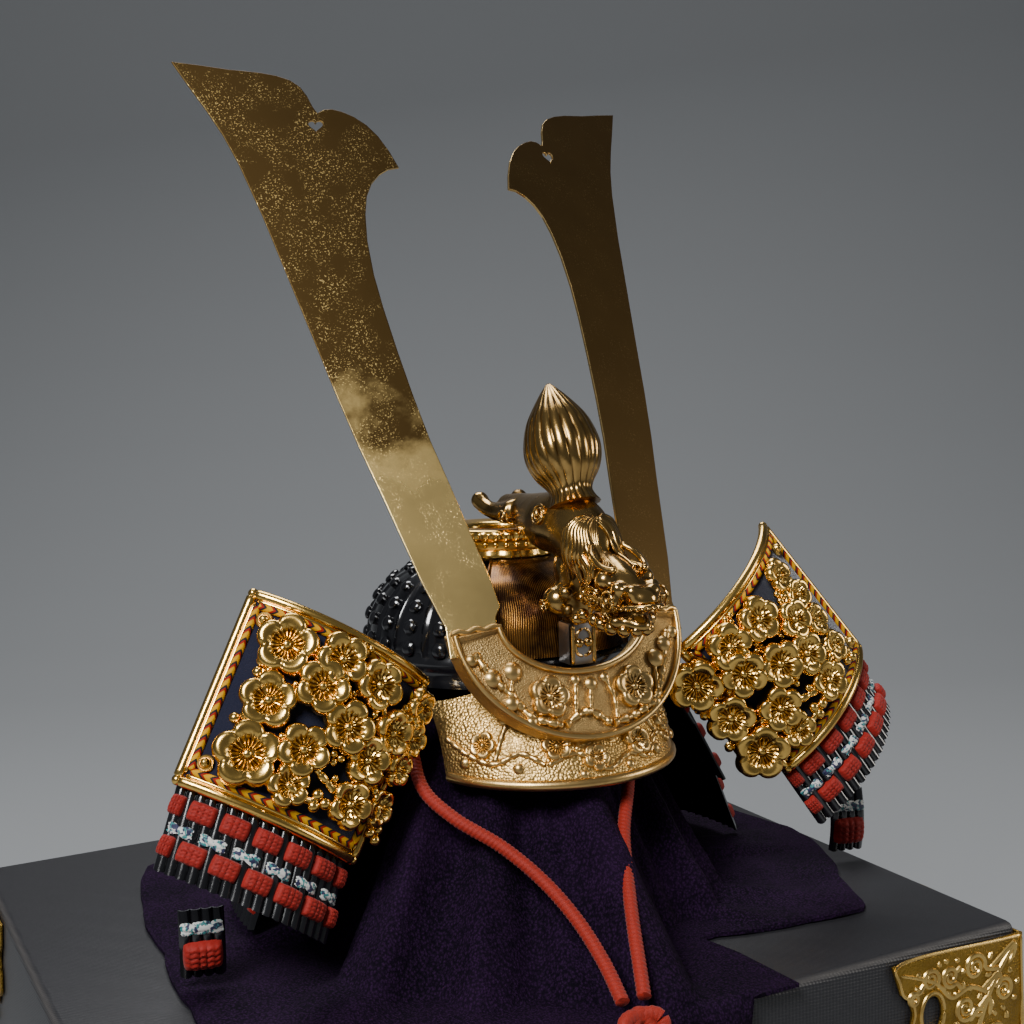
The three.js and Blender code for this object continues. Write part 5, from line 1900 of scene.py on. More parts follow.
@dataclass
class HornHolder:
    """The gilt crescent that carries the horns: rims, mouths, two big blossoms, buds and branch."""

    half: float = 37.0
    drop: float = 35.5
    inner_half: float = 22.8
    inner_drop: float = 14.5
    bend: float = 160.0
    lean: float = 24.0
    forward: float = -6.2
    deep: float = 4.6
    # across, up, radius
    flowers: Rows = ((-13.5, -21.5, 6.4), (14, -22, 6.6))
    buds: Rows = ((-28.5, -14, 2.9), (-22.5, -13, 3.0), (-24.5, -21.5, 2.5), (24, -14.5, 3.0),
                  (28.5, -10.5, 2.7),
                  (0, -19.5, 2.2), (-4.5, -17.8, 1.6), (5, -18.2, 1.6), (-33, -8, 2.0), (33, -7, 2.0),
                  (20.5, -27, 1.9),
                  (-20, -27.5, 1.9))
    stems: tuple = (((-32, -6), (-29, -13), (-24.5, -19), (-20, -26), (-11, -30)),
                    ((-11, -30), (-3, -27), (4, -31.5)),
                    ((4, -31.5), (13, -29.5), (21, -25.5), (26, -17), (31, -6)),
                    ((-2, -28), (-1, -23), (0, -19.5)),
                    ((-24.5, -19), (-23, -15), (-21, -11)), ((22, -24), (23, -18), (24, -13)),
                    ((-7, -29), (-6, -24), (-4.5, -18)), ((6, -30.5), (6.5, -24), (5, -18.5)))

    def seated(self, x: np.ndarray, depth: np.ndarray, z: np.ndarray) -> np.ndarray:
        """Places crescent coordinates: across, in front of the face (negative) and up."""
        flat = stack(x, x * x / (2 * self.bend) + depth, z)
        return flat @ turn("X", -self.lean).T + np.array([0, self.forward, 0])

    def face(self, u: np.ndarray, v: np.ndarray) -> tuple[np.ndarray, np.ndarray]:
        """Across and up on the crescent: u along it, v from its inner to its outer edge.

        Args:
            u: The share across or round, from 0 to 1.
            v: The share along or down, from 0 to 1.

        Returns:
            The place across and up.
        """
        angle = np.pi * (1 + u)
        across = self.inner_half + (self.half - self.inner_half) * v
        down = self.inner_drop + (self.drop - self.inner_drop) * v
        return across * np.cos(angle), down * np.sin(angle)

    def crescent(self) -> bpy.types.Object:
        """The crescent's solid, with a rounded raised rim along both edges and its two ends."""
        def surface(u: np.ndarray, v: np.ndarray) -> np.ndarray:
            """Round the section: over the front, then back underneath.

            Args:
                u: The share across or round, from 0 to 1.
                v: The share along or down, from 0 to 1.

            Returns:
                The points.
            """
            front = v <= 0.62
            share = np.where(front, v / 0.62, 1 - (v - 0.69) / 0.24)
            share = np.clip(share, 0, 1)
            x, z = self.face(u, share)
            edge = np.minimum(share, 1 - share) * 17.6
            ends = np.minimum(u, 1 - u) * 70
            rim = np.maximum(np.exp(-((edge - 0.95) / 0.62) ** 2), np.exp(-((ends - 0.95) / 0.62) ** 2))
            fall = np.maximum(np.exp(-((edge) / 0.4) ** 2), np.exp(-((ends) / 0.4) ** 2))
            depth = np.where(front | (v > 0.999), -1.15 * rim + 0.7 * fall, self.deep)
            tip = (u < 1e-6) | (u > 1 - 1e-6)
            x0, z0 = self.face(u, np.full_like(u, 0.5))
            return self.seated(np.where(tip, x0, x), np.where(tip, self.deep / 2, depth),
                               np.where(tip, z0, z))
        return Bench.shell("crescent", surface, 150, 60)

    def mouths(self) -> list[bpy.types.Object]:
        """The scalloped collars round the horns' mouths.

        Returns:
            The pieces.
        """
        pieces = []
        for side in (-1, 1):
            route = [(22.4, 1.2), (25, 1.9), (27.5, 1.2), (30, 2.0), (32.5, 1.2), (35, 1.9), (37.2, 1.1)]
            for depth in (0.2, self.deep - 0.2):
                line = curve_through([tuple(self.seated(np.array(side * x), np.array(depth),
                                                        np.array(z - 1.4)))
                                      for x, z in route], 0.5)
                pieces.append(Bench.tube("mouth", line, 0.95, 10))
        return pieces

    def build(self) -> None:
        """Makes the crescent with its relief."""
        ground = self.crescent()
        ground.data.materials.append(Finish.STIPPLE.material)
        normal = turn("X", -self.lean) @ np.array([0, -1.0, 0])
        raised = self.mouths()
        for share in (0.055, 0.945):
            u = np.linspace(0.0, 1.0, 150)
            x, z = self.face(u, np.full_like(u, share))
            raised.append(Bench.tube("rim", self.seated(x, np.full_like(x, -0.55), z), 0.95, 12))
        spot = lambda x, z, lift: self.seated(np.array(float(x)), np.array(-lift), np.array(float(z)))
        places = [upright(spot(x, z, 0.1), normal, (r, r * 0.95), 0.3 * k) for k,
                  (x, z, r) in enumerate(self.flowers)]
        raised.append(Bench.copies("flowers", Blossom(tall=0.28).piece(65, 18), places))
        places = [upright(spot(x, z, 0.1), normal, (r, r * 0.8), 0.0) for x, z, r in self.buds]
        raised.append(Bench.copies("buds", dome("bud", 7, 18), places))
        for k, stem in enumerate(self.stems):
            line = curve_through([tuple(spot(x, z, 0.45)) for x, z in stem], 0.6)
            width = 1.15 if k < 3 else 0.7
            knots = lambda u, s, w=width: w * (1 + 0.25 * np.sin(s * 1.7) + 0.14 * np.sin(s * 4.1 + 1))
            raised.append(Bench.tube("stem", line, knots, 9))
        for piece in raised:
            piece.data.materials.append(Finish.PALE.material)
        holder = Bench.join("gilt_horn_holder", [ground, *raised])
        Bench.deliver(holder, [Finish.STIPPLE.material, Finish.PALE.material], "pale_gilt", "horn_holder",
                      angle=45)


# ------------------------------------------------------------------ horns
@dataclass
class Horn:
    """One flat horn: sheet brass with a notch and a heart-shaped hole near its top."""

    side: str
    yaw: float
    lean: float
    seat: tuple[float, float, float] = (37.5, 0.4, 0.0)
    thick: float = 1.0
    outer: Rows = ((0, 0), (5.5, 13.5), (14.6, 40), (20, 55), (25, 70.4), (31.2, 91), (36.4, 108),
                   (43.4, 131),
                   (49.6, 149), (53.8, 159), (58.5, 168), (63.4, 176.5), (68.4, 185.5))
    top: Rows = ((60, 184.4), (51, 183.0), (42, 182.1), (36.5, 181), (32.4, 179.4), (29.4, 177),
                 (27.4, 173.6),
                 (25.9, 169.6), (24.6, 167.4), (22.6, 168.6))
    lobe: Rows = ((20, 168.9), (17, 168), (13.4, 166.2), (9.6, 163.2), (6.2, 159), (3.2, 153.6), (0.7, 147.8))
    inner: Rows = ((4, 147.2), (7, 145.2), (9.6, 142), (11.4, 137.6), (12.3, 131), (12.4, 122), (11.3, 110.4),
                   (9.3, 99), (6.2, 84.5), (2.8, 70), (-1, 55.6), (-5.6, 41), (-10, 26.4), (-14, 13.6),
                   (-16, 5),
                   (-14.4, 2))
    heart: tuple[float, float, float] = (25.4, 162.9, 2.3)

    def outline(self) -> list[tuple[float, float]]:
        """The plate's edge, from its foot round its tip and back, with its tongue."""
        return [*self.outer, *self.top, *self.lobe, *self.inner, (-14.4, -9), (-0.6, -9)]

    def build(self) -> None:
        """Cuts the horn, seats it and gives it its gilt."""
        x, z, r = self.heart
        t = np.linspace(0, 2 * np.pi, 28, endpoint=False)
        hole = [(x + r * 0.062 * 16 * math.sin(a) ** 3,
                 z + r * 0.062 * (13 * math.cos(a) - 5 * math.cos(2 * a) - 2 * math.cos(3 * a)
                                  - math.cos(4 * a)))
                for a in t]
        plate = Bench.plate(f"gilt_horn_{self.side}", self.outline(), [hole], self.thick, 0.22)
        for face in plate.data.polygons:
            face.material_index = int(abs(face.normal.y) < 0.75)
        co = Bench.points(plate) @ turn("X", -self.lean).T @ turn("Z", self.yaw).T + np.array(self.seat)
        if self.side == "left":
            co[:, 0] *= -1
        Bench.move(plate, SEAT.world(co))
        Bench.edit(plate, ("normals_make_consistent", {"inside": False}))
        finish = Finish.HORN_LEFT if self.side == "left" else Finish.HORN_RIGHT
        finishes = [finish.material, Finish.HORN_EDGE.material]
        Bench.deliver(plate, finishes, "horn_brass", f"horn_{self.side}", angle=None)
        plate.data.shade_flat()


# ------------------------------------------------------------------ crest
@dataclass
class Crest:
    """The post, the cast dragon's head on it and the fluted jewel on the head."""

    # centre, half sizes, tilt about the x axis
    masses: Rows = ((0, -7.5, 5.5, 5.2, 6, 8.5, 0), (0, -9, 14, 6.8, 8.6, 10, 0),
                    (0, -14.5, 21.4, 7.6, 9.8, 8.6, 30), (0, -29.5, 13.9, 5.8, 13, 5.3, 22),
                    (0, -42, 9.8, 4.4, 4.3, 3.6, 0), (0, -33, 4.6, 5.4, 11, 3.4, 12),
                    (0, -24, 9.4, 6.4, 7, 4.4, 10))
    lumps: Rows = ((6.0, -33, 14.2, 3.1), (5.4, -38.4, 12.6, 2.2), (3.2, -42, 12.0, 2.2), (6.2, -8, 5.6, 4.7),
                   (6.4, -38.2, 9.4, 2.2), (5.2, -37, 3.6, 2.2))
    # across, along, up and radius, from the snout over the skull to the nape
    cranium: Rows = ((0, 35, 29.2, 3.6), (0, 29, 28.8, 4.6), (0, 22, 28.4, 5.6), (0, 14, 27.2, 7.4),
                     (0, 6, 26.4, 8.8),
                     (0, -2, 26.4, 9.3), (0, -9, 25.4, 9.2), (0, -15, 21.6, 8.4), (0, -18, 17, 7.2))
    horns: tuple = (((4.0, 20, 28.4), (4.8, 27, 27.8), (5.8, 32, 28), (6.5, 36, 29.2), (6.8, 38.8, 30.8)),)
    voxel: float = 0.56

    @staticmethod
    def ball(centre: Sequence[float], radii: Sequence[float], tilt: float = 0.0) -> bpy.types.Object:
        """A ball with three half sizes, tilted about the x axis.

        Args:
            centre: Its middle.
            radii: Its three half sizes.
            tilt: Its tilt.

        Returns:
            The ball.
        """
        obj = Bench.primitive("uv_sphere", "ball", segments=24, ring_count=16, radius=1.0)
        co = Bench.points(obj) * np.array(radii) @ turn("X", tilt).T + np.array(centre)
        return Bench.move(obj, SEAT.world(co))

    def skull(self) -> bpy.types.Object:
        """The head's main forms, melted into one casting.

        Returns:
            The piece.
        """
        parts = [self.ball(row[:3], row[3:6], row[6]) for row in self.masses]
        for x, y, z, r in self.lumps:
            parts += [self.ball((side * x, y, z), (r, r, r)) for side in (-1, 1)]
        swell = lambda u, s: np.interp(s, [0, 6, 13, 20], [4.2, 3.4, 2.5, 2.7])
        for side in (-1, 1):
            for route in self.horns:
                line = curve_through([(side * x, y, z) for x, y, z in route], 0.8)
                parts.append(Bench.tube("horn", line, swell, 14))
                parts.append(self.ball((side * route[-1][0], route[-1][1], route[-1][2]), (3.0, 2.6, 2.9)))
        route = curve_through([row[:3] for row in self.cranium], 0.8)
        marks = np.linspace(0, 1, len(self.cranium))
        radii = [row[3] for row in self.cranium]
        whole = float(np.linalg.norm(np.diff(route, axis=0), axis=1).sum())
        parts.append(Bench.tube("cranium", route, lambda u, s: np.interp(s / whole, marks, radii), 24))
        head = Bench.join("head", parts)
        Bench.modify(head, "REMESH", mode="VOXEL", voxel_size=self.voxel * MM)
        return Bench.modify(head, "SMOOTH", factor=0.7, iterations=14)

    @staticmethod
    def snap(head: bpy.types.Object, points: np.ndarray, lift: float) -> np.ndarray:
        """Lays points, in the helmet's frame, on the head's skin and lifts them off it in millimetres.

        Args:
            head: The finished head.
            points: The points to lay down.
            lift: How far they are lifted off.

        Returns:
            The moved points.
        """
        laid = []
        for point in SEAT.world(points):
            _, near, normal, _ = head.closest_point_on_mesh(Vector(point))
            laid.append(SEAT.helmet(np.array(near)) + np.array(normal) * lift)
        laid = np.array(laid)
        for _ in range(3):
            laid[1:-1] = (laid[:-2] + laid[1:-1] * 2 + laid[2:]) / 4
        return laid

    def mane(self, head: bpy.types.Object) -> list[bpy.types.Object]:
        """The combed strands that fall from the brow over the cheeks and run along the nose.

        Args:
            head: The finished head.

        Returns:
            The pieces.
        """
        left = np.array([(1.2, -16.5, 28.5), (6.0, -15.5, 27), (9.4, -16, 23.5), (9, -14.5, 16.5),
                         (8.4, -15.5, 11)])
        right = np.array([(0.4, -17.5, 28.5), (4.2, -21, 26.5), (7.6, -27, 23.5), (8.4, -27, 18.5),
                          (8.2, -26, 13)])
        ridge = np.array([(1.5, -18, 28.5), (4.2, -23.5, 25), (6.4, -31, 21.5), (6.0, -36, 18.5)])
        strands = []
        for side in (-1, 1):
            for k in range(8):
                t = k / 7
                route = (left * (1 - t) + right * t) * np.array([side, 1, 1])
                line = self.snap(head, curve_through(route, 0.7), 0.3)
                width = lambda u, s, k=k: np.interp(s, [0, 5, 14, 23],
                                                    [0.5, 0.95, 1.05, 0.5]) * (1 + 0.1 * (k % 2))
                strands.append(Bench.tube("strand", line, width, 8, (side, 0, 0)))
            for k in range(4):
                route = (ridge + np.array([-0.4, 0.2, 0.0]) * k * 2.0) * np.array([side, 1, 1])
                line = self.snap(head, curve_through(route, 0.7), 0.2)
                strands.append(Bench.tube("ridge", line, 0.5, 8, (side, 0, 0)))
        return strands

    def rings(self, head: bpy.types.Object) -> list[bpy.types.Object]:
        """Eyes, rosettes and the scrolls on the cheeks and nose: rings round a bead.

        Args:
            head: The finished head.

        Returns:
            The pieces.
        """
        pieces = []
        spots = ((-2.0, 31.0, 2.8, 2), (20.5, 25.6, 1.9, 1), (-22.6, 10.2, 3.0, 2), (-28.6, 8.2, 2.5, 2),
                 (-26.2, 4.4, 2.1, 1), (-38.2, 9.4, 2.6, 1), (-7.0, 4.0, 1.6, 1), (-31.5, 5.0, 1.7, 1))
        for side in (-1, 1):
            for y, z, reach, count in spots:
                aim = SEAT.world(np.array([side * 12.0, y, z]))
                _, point, normal, _ = head.closest_point_on_mesh(Vector(aim))
                place, out = SEAT.helmet(np.array(point)), np.array(normal)
                axes = upright(place, out, (1.0, 1.0), 0.0)[:3, :3] / MM
                turns = np.linspace(0, 2 * np.pi, 30)
                for k in range(count):
                    r = reach * (1 - 0.38 * k)
                    ring = stack(r * np.cos(turns), r * np.sin(turns), np.full(30, 0.2)) @ axes.T + place
                    pieces.append(Bench.tube("ring", ring, 0.45 - 0.06 * k, 8, tuple(out)))
                bead = upright(place - out * 0.4, out, (reach * 0.42, reach * 0.5 + 0.5), 0.0)
                pieces.append(Bench.copies("bead", dome("bead", 6, 14), [bead]))
        return pieces

    def jaws(self) -> list[bpy.types.Object]:
        """The toothed lip, the nostril rings and the balls of the beard.

        Returns:
            The pieces.
        """
        pieces = []
        lip = curve_through([(-7.2, -27, 9.6), (-6.9, -34, 8.4), (-6.0, -41, 8.0), (-3.2, -46, 8.4),
                             (0, -47.4, 8.6),
                             (3.2, -46, 8.4), (6.0, -41, 8.0), (6.9, -34, 8.4), (7.2, -27, 9.6)], 0.5)
        pieces.append(Bench.tube("lip", lip, 0.75, 9, (0, 0, 1)))
        teeth = []
        for k in range(4, len(lip) - 4, 3):
            out = np.array([lip[k][0], lip[k][1] + 30, 0])
            teeth.append(upright(lip[k] + np.array([0, 0, -0.3]), out / np.linalg.norm(out), (0.62, 1.25),
                                 0.0))
        pieces.append(Bench.copies("teeth", dome("tooth", 4, 8), teeth))
        beard = [(x, y, z, r) for x, y, z,
                 r in ((5.2, -26, 2.6, 1.9), (5.6, -30, 2.0, 2.0), (5.2, -34.5, 1.6, 1.9),
                                                 (3.9, -38.6, 1.4, 1.7), (1.5, -41, 1.4, 1.6),
                                                 (2.2, -30, 0.4, 1.7),
                                                 (6.4, -22, 3.6, 1.8), (5.6, -17, 1.6, 1.7),
                                                 (2.2, -36, 0.6, 1.6),
                                                 (6.6, -13, 8.4, 2.2), (6.2, -13.5, 3.6, 1.8))]
        for x, y, z, r in beard:
            pieces += [self.ball((side * x, y, z), (r, r, r)) for side in (-1, 1)]
        for side in (-1, 1):
            brow = curve_through([(side * 4.6, -24, 22.6), (side * 6.8, -28, 20.4), (side * 6.6, -33, 17.6),
                                  (side * 4.4, -36.6, 17.0)], 0.6)
            pieces.append(Bench.tube("brow", brow, 0.95, 9, (side, 0, 0)))
            tusk = curve_through([(side * 6.6, -33, 8.6), (side * 7.6, -35.5, 6.4),
                                  (side * 7.2, -37.5, 4.0)], 0.5)
            taper = lambda u, s: np.interp(s, [0, 5], [0.8, 0.3])
            pieces.append(Bench.tube("tusk", tusk, taper, 8, (side, 0, 0)))
        return pieces

    def jewel(self) -> bpy.types.Object:
        """The flame jewel: a bud with fine flutes, drawn up to a point and spread at its foot.

        Returns:
            The piece.
        """
        rows = curve_through([(8.2, 0, -4.0), (6.8, 0, -1.8), (6.1, 0, 0.4), (7.2, 0, 2.8), (9.4, 0, 5.8),
                              (10.8, 0, 9.2),
                              (11.3, 0, 13), (10.6, 0, 17.4), (8.9, 0, 22.2), (5.9, 0, 26.8),
                              (2.8, 0, 30.8), (0.4, 0, 33.4)],
                             0.5)
        share = np.linspace(0, 1, len(rows))

        def surface(u: np.ndarray, v: np.ndarray) -> np.ndarray:
            """The bud with its flutes a little twisted, leant back on the head.

            Args:
                u: The share across or round, from 0 to 1.
                v: The share along or down, from 0 to 1.

            Returns:
                The points.
            """
            angle = 2 * np.pi * u
            r = np.interp(v, share, rows[:, 0])
            flute = np.sqrt(np.abs(np.sin(angle * 10 + v * 1.6))) * (0.8 + 0.2 * np.sin(angle * 3 + 1))
            r = r * (0.93 + 0.07 * flute)
            r = np.where((v < 1e-6) | (v > 1 - 1e-6), 0.0, r)
            flat = stack(r * np.cos(angle), r * np.sin(angle), np.interp(v, share, rows[:, 2]))
            return flat @ turn("X", -22).T + np.array([0, -6.2, 35.4])

        return Bench.shell("gilt_flame_jewel", surface, 20 * 10, 66)

    def post(self) -> bpy.types.Object:
        """The channel that the head stands on: silvered sides, a gilt face with rims and two beads.

        Returns:
            The piece.
        """
        wide, deep, top, bottom, front = 8.0, 7.2, -1.0, -12.7, -11.0
        tall, middle = top - bottom, (top + bottom) / 2
        blocks = (((0, front + 0.6, middle), (wide, 1.2, tall)),
                  ((-wide / 2 + 0.6, front + deep / 2, middle), (1.2, deep, tall)),
                  ((wide / 2 - 0.6, front + deep / 2, middle), (1.2, deep, tall)))
        pieces = []
        for centre, size in blocks:
            block = Bench.primitive("cube", "block", size=1.0)
            Bench.move(block, SEAT.world(Bench.points(block) * np.array(size) + np.array(centre)))
            pieces.append(Bench.modify(block, "BEVEL", width=0.18 * MM, segments=2))
            pieces[-1].data.materials.append(Finish.STEEL.material)
        gilt = []
        for side in (-1, 1):
            x = side * (wide / 2 - 0.55)
            gilt.append(Bench.tube("rim", curve_through([(x, front, top), (x, front, bottom)], 0.8), 0.6, 10))
            gilt.append(self.ball((side * 1.45, front - 0.1, bottom + 6.2), (1.35, 1.2, 1.35)))
            scroll = [(side * 0.2, front - 0.1, bottom + 2.2), (side * 2.2, front - 0.1, bottom + 3.4),
                      (side * 2.0, front - 0.1, bottom + 9.0), (side * 0.2, front - 0.1, bottom + 10.4)]
            gilt.append(Bench.tube("scroll", curve_through(scroll, 0.5), 0.42, 8))
        for piece in gilt:
            piece.data.materials.append(Finish.BRONZE.material)
        return Bench.join("crest_channel", pieces + gilt)

    def build(self) -> None:
        """Makes the post, the head and the jewel."""
        finishes = [Finish.STEEL.material, Finish.BRONZE.material]
        Bench.deliver(self.post(), finishes, "pale_gilt", "crest_post", angle=45)
        head = self.skull()
        details = [*self.mane(head), *self.rings(head), *self.jaws()]
        head = Bench.join("cast_dragon_head", [head, *details])
        Bench.deliver(head, Finish.BRONZE.material, "cast_gold", "dragon_head", angle=70)
        Bench.deliver(self.jewel(), Finish.JEWEL.material, "cast_gold", "flame_jewel", angle=50)


# ------------------------------------------------------------------ lacing
@dataclass
class Lacing:
    """The lacing on one lame: rows of red knitted pads with flecked stitches between."""

    wide: float = 7.5
    tall: float = 5.2
    rise: float = 1.9
    pitch: float = 10.2
    stitch_wide: float = 6.4
    stitch_tall: float = 4.0

    def pad(self, cells: int) -> bpy.types.Object:
        """A knitted pad of unit size, round the origin, facing +z, with its rows of stitches.

        Args:
            cells: Cells on each side.

        Returns:
            The pad.
        """
        def surface(u: np.ndarray, v: np.ndarray) -> np.ndarray:
            """A pillow with V-shaped stitches.

            Args:
                u: The share across or round, from 0 to 1.
                v: The share along or down, from 0 to 1.

            Returns:
                The points.
            """
            x, y = u * 2 - 1, v * 2 - 1
            fall = np.sqrt(np.clip(1 - x ** 4, 0, 1) * np.clip(1 - y ** 4, 0, 1))
            corner = 1 - 0.07 * (x * y) ** 2
            knit = 0.0
            if cells > 12:
                column = (u * 5) % 1.0
                knit = 0.26 * np.abs(np.sin(np.pi * (v * 5 + np.abs(column - 0.5) * 1.2))) * fall
                knit = knit - 0.16 * np.exp(-((np.minimum(column, 1 - column)) / 0.13) ** 2) * fall
            return stack(x * corner / 2, y * corner / 2, fall ** 0.8 + knit)
        pad = Bench.grid("pad", surface, cells, round(cells * 0.8), seat=False)
        return Bench.modify(pad, "SOLIDIFY", thickness=0.03, offset=0.0)

    def stitch(self) -> bpy.types.Object:
        """A crossed stitch: four strands that cross low in the middle, one unit wide.

        Returns:
            The piece.
        """
        strands = []
        for a, b, top in ((-0.5, 0.28, 0.5), (-0.5, -0.28, 0.34), (-0.46, 0.06, 0.62), (-0.46, -0.06, 0.44)):
            line = curve_through([(a, b * 0.8, 0.0), (a * 0.5, b * 0.6, top), (0.0, -b * 0.1, top + 0.1),
                                  (-a * 0.5, -b * 0.7, top), (-a, -b * 0.8, 0.0)], 0.14)
            strands.append(Bench.tube("strand", line, 0.17, 8, (0, 0, 1), seat=False))
        return Bench.join("stitch", strands)

    def lay(self, surface: Callable[[float, float], np.ndarray], length: float, height: float, cells: int,
            rows: Sequence[float] = (0.27, 0.66), first: float = 0.0) -> list[bpy.types.Object]:
        """Lays pads and stitches over a lame.

        Args:
            surface: Gives the lame's outer face from the length along and the length down it.
            length: The lame's length in millimetres.
            height: The lame's visible height in millimetres.
            cells: Cells across a pad.
            rows: The pads' rows, as shares of the height.
            first: Where the first pad stands.

        Returns:
            The pads and the stitches, each with its own finish.
        """
        count = max(2, round(length / self.pitch))
        pitch = length / count
        pads, stitches = [], []
        for share in rows:
            for k in range(count + 1):
                half = self.wide * 0.27
                along = min(max(k * pitch, half + 0.3), length - half - 0.3) + first
                wide = self.wide if 0 < k < count else half * 2
                pads.append(self.place(surface, along, share * height, (wide, self.tall, self.rise)))
        between = (rows[0] * 0.44 + rows[1] * 0.56) * height
        for k in range(count):
            along = (k + 0.5) * pitch + first
            stitches.append(self.place(surface, along, between, (self.stitch_wide, self.stitch_tall, 1.5)))
        red = Bench.copies("pads", self.pad(cells), pads)
        red.data.materials.append(Finish.RED_PAD.material)
        pale = Bench.copies("stitches", self.stitch(), stitches)
        pale.data.materials.append(Finish.STITCH.material)
        return [red, pale]

    @staticmethod
    def place(surface: Callable[[float, float], np.ndarray], along: float, down: float,
              size: Sequence[float]) -> np.ndarray:
        """A matrix that lies a unit copy on a surface, level along it.

        Args:
            surface: The surface to lie on.
            along: How far along.
            down: How far down.
            size: The copy's three sizes.

        Returns:
            The matrix.
        """
        here = surface(along, down)
        right = surface(along + 0.5, down) - surface(along - 0.5, down)
        right /= np.linalg.norm(right)
        below = surface(along, down + 0.5) - surface(along, down - 0.5)
        out = np.cross(right, -below)
        out /= np.linalg.norm(out)
        up = np.cross(out, right)
        matrix = np.eye(4)
        matrix[:3, 0], matrix[:3, 1], matrix[:3,
                                             2] = right * size[0] * MM, up * size[1] * MM, out * size[2] * MM
        matrix[:3, 3] = SEAT.world(here)
        return matrix


def corrugated(name: str, surface: Callable[[np.ndarray, np.ndarray, np.ndarray], np.ndarray], length: float,
               height: float, rows: int, thick: float) -> bpy.types.Object:
    """A lacquered lame of narrow scales: fine upright ribs along its length.

    Args:
        name: The new object's name.
        surface: Gives a point from the length along, the length down and the height over the face.
        length: The lame's length in millimetres.
        height: The lame's height in millimetres.
        rows: Cells down it.
        thick: Its wall.

    Returns:
        The lame.
    """
    ribs = max(4, round(length / 3.4))

    def ribbed(u: np.ndarray, v: np.ndarray) -> np.ndarray:
        """The lame's face with its ribs and a scalloped lower edge.

        Args:
            u: The share across or round, from 0 to 1.
            v: The share along or down, from 0 to 1.

        Returns:
            The points.
        """
        rib = np.abs(np.sin(np.pi * u * ribs))
        over = 1.0 * np.sqrt(rib) - 0.6
        down = v * height + 0.5 * rib * smooth(0.9, 1.0, v)
        return surface(u * length, down, over)

    lame = Bench.grid(name, ribbed, ribs * 5, rows)
    Bench.wall(lame, thick)
    lame.data.materials.append(Finish.BLACK.material)
    return lame


LACED = (Finish.BLACK, Finish.RED_PAD, Finish.STITCH)


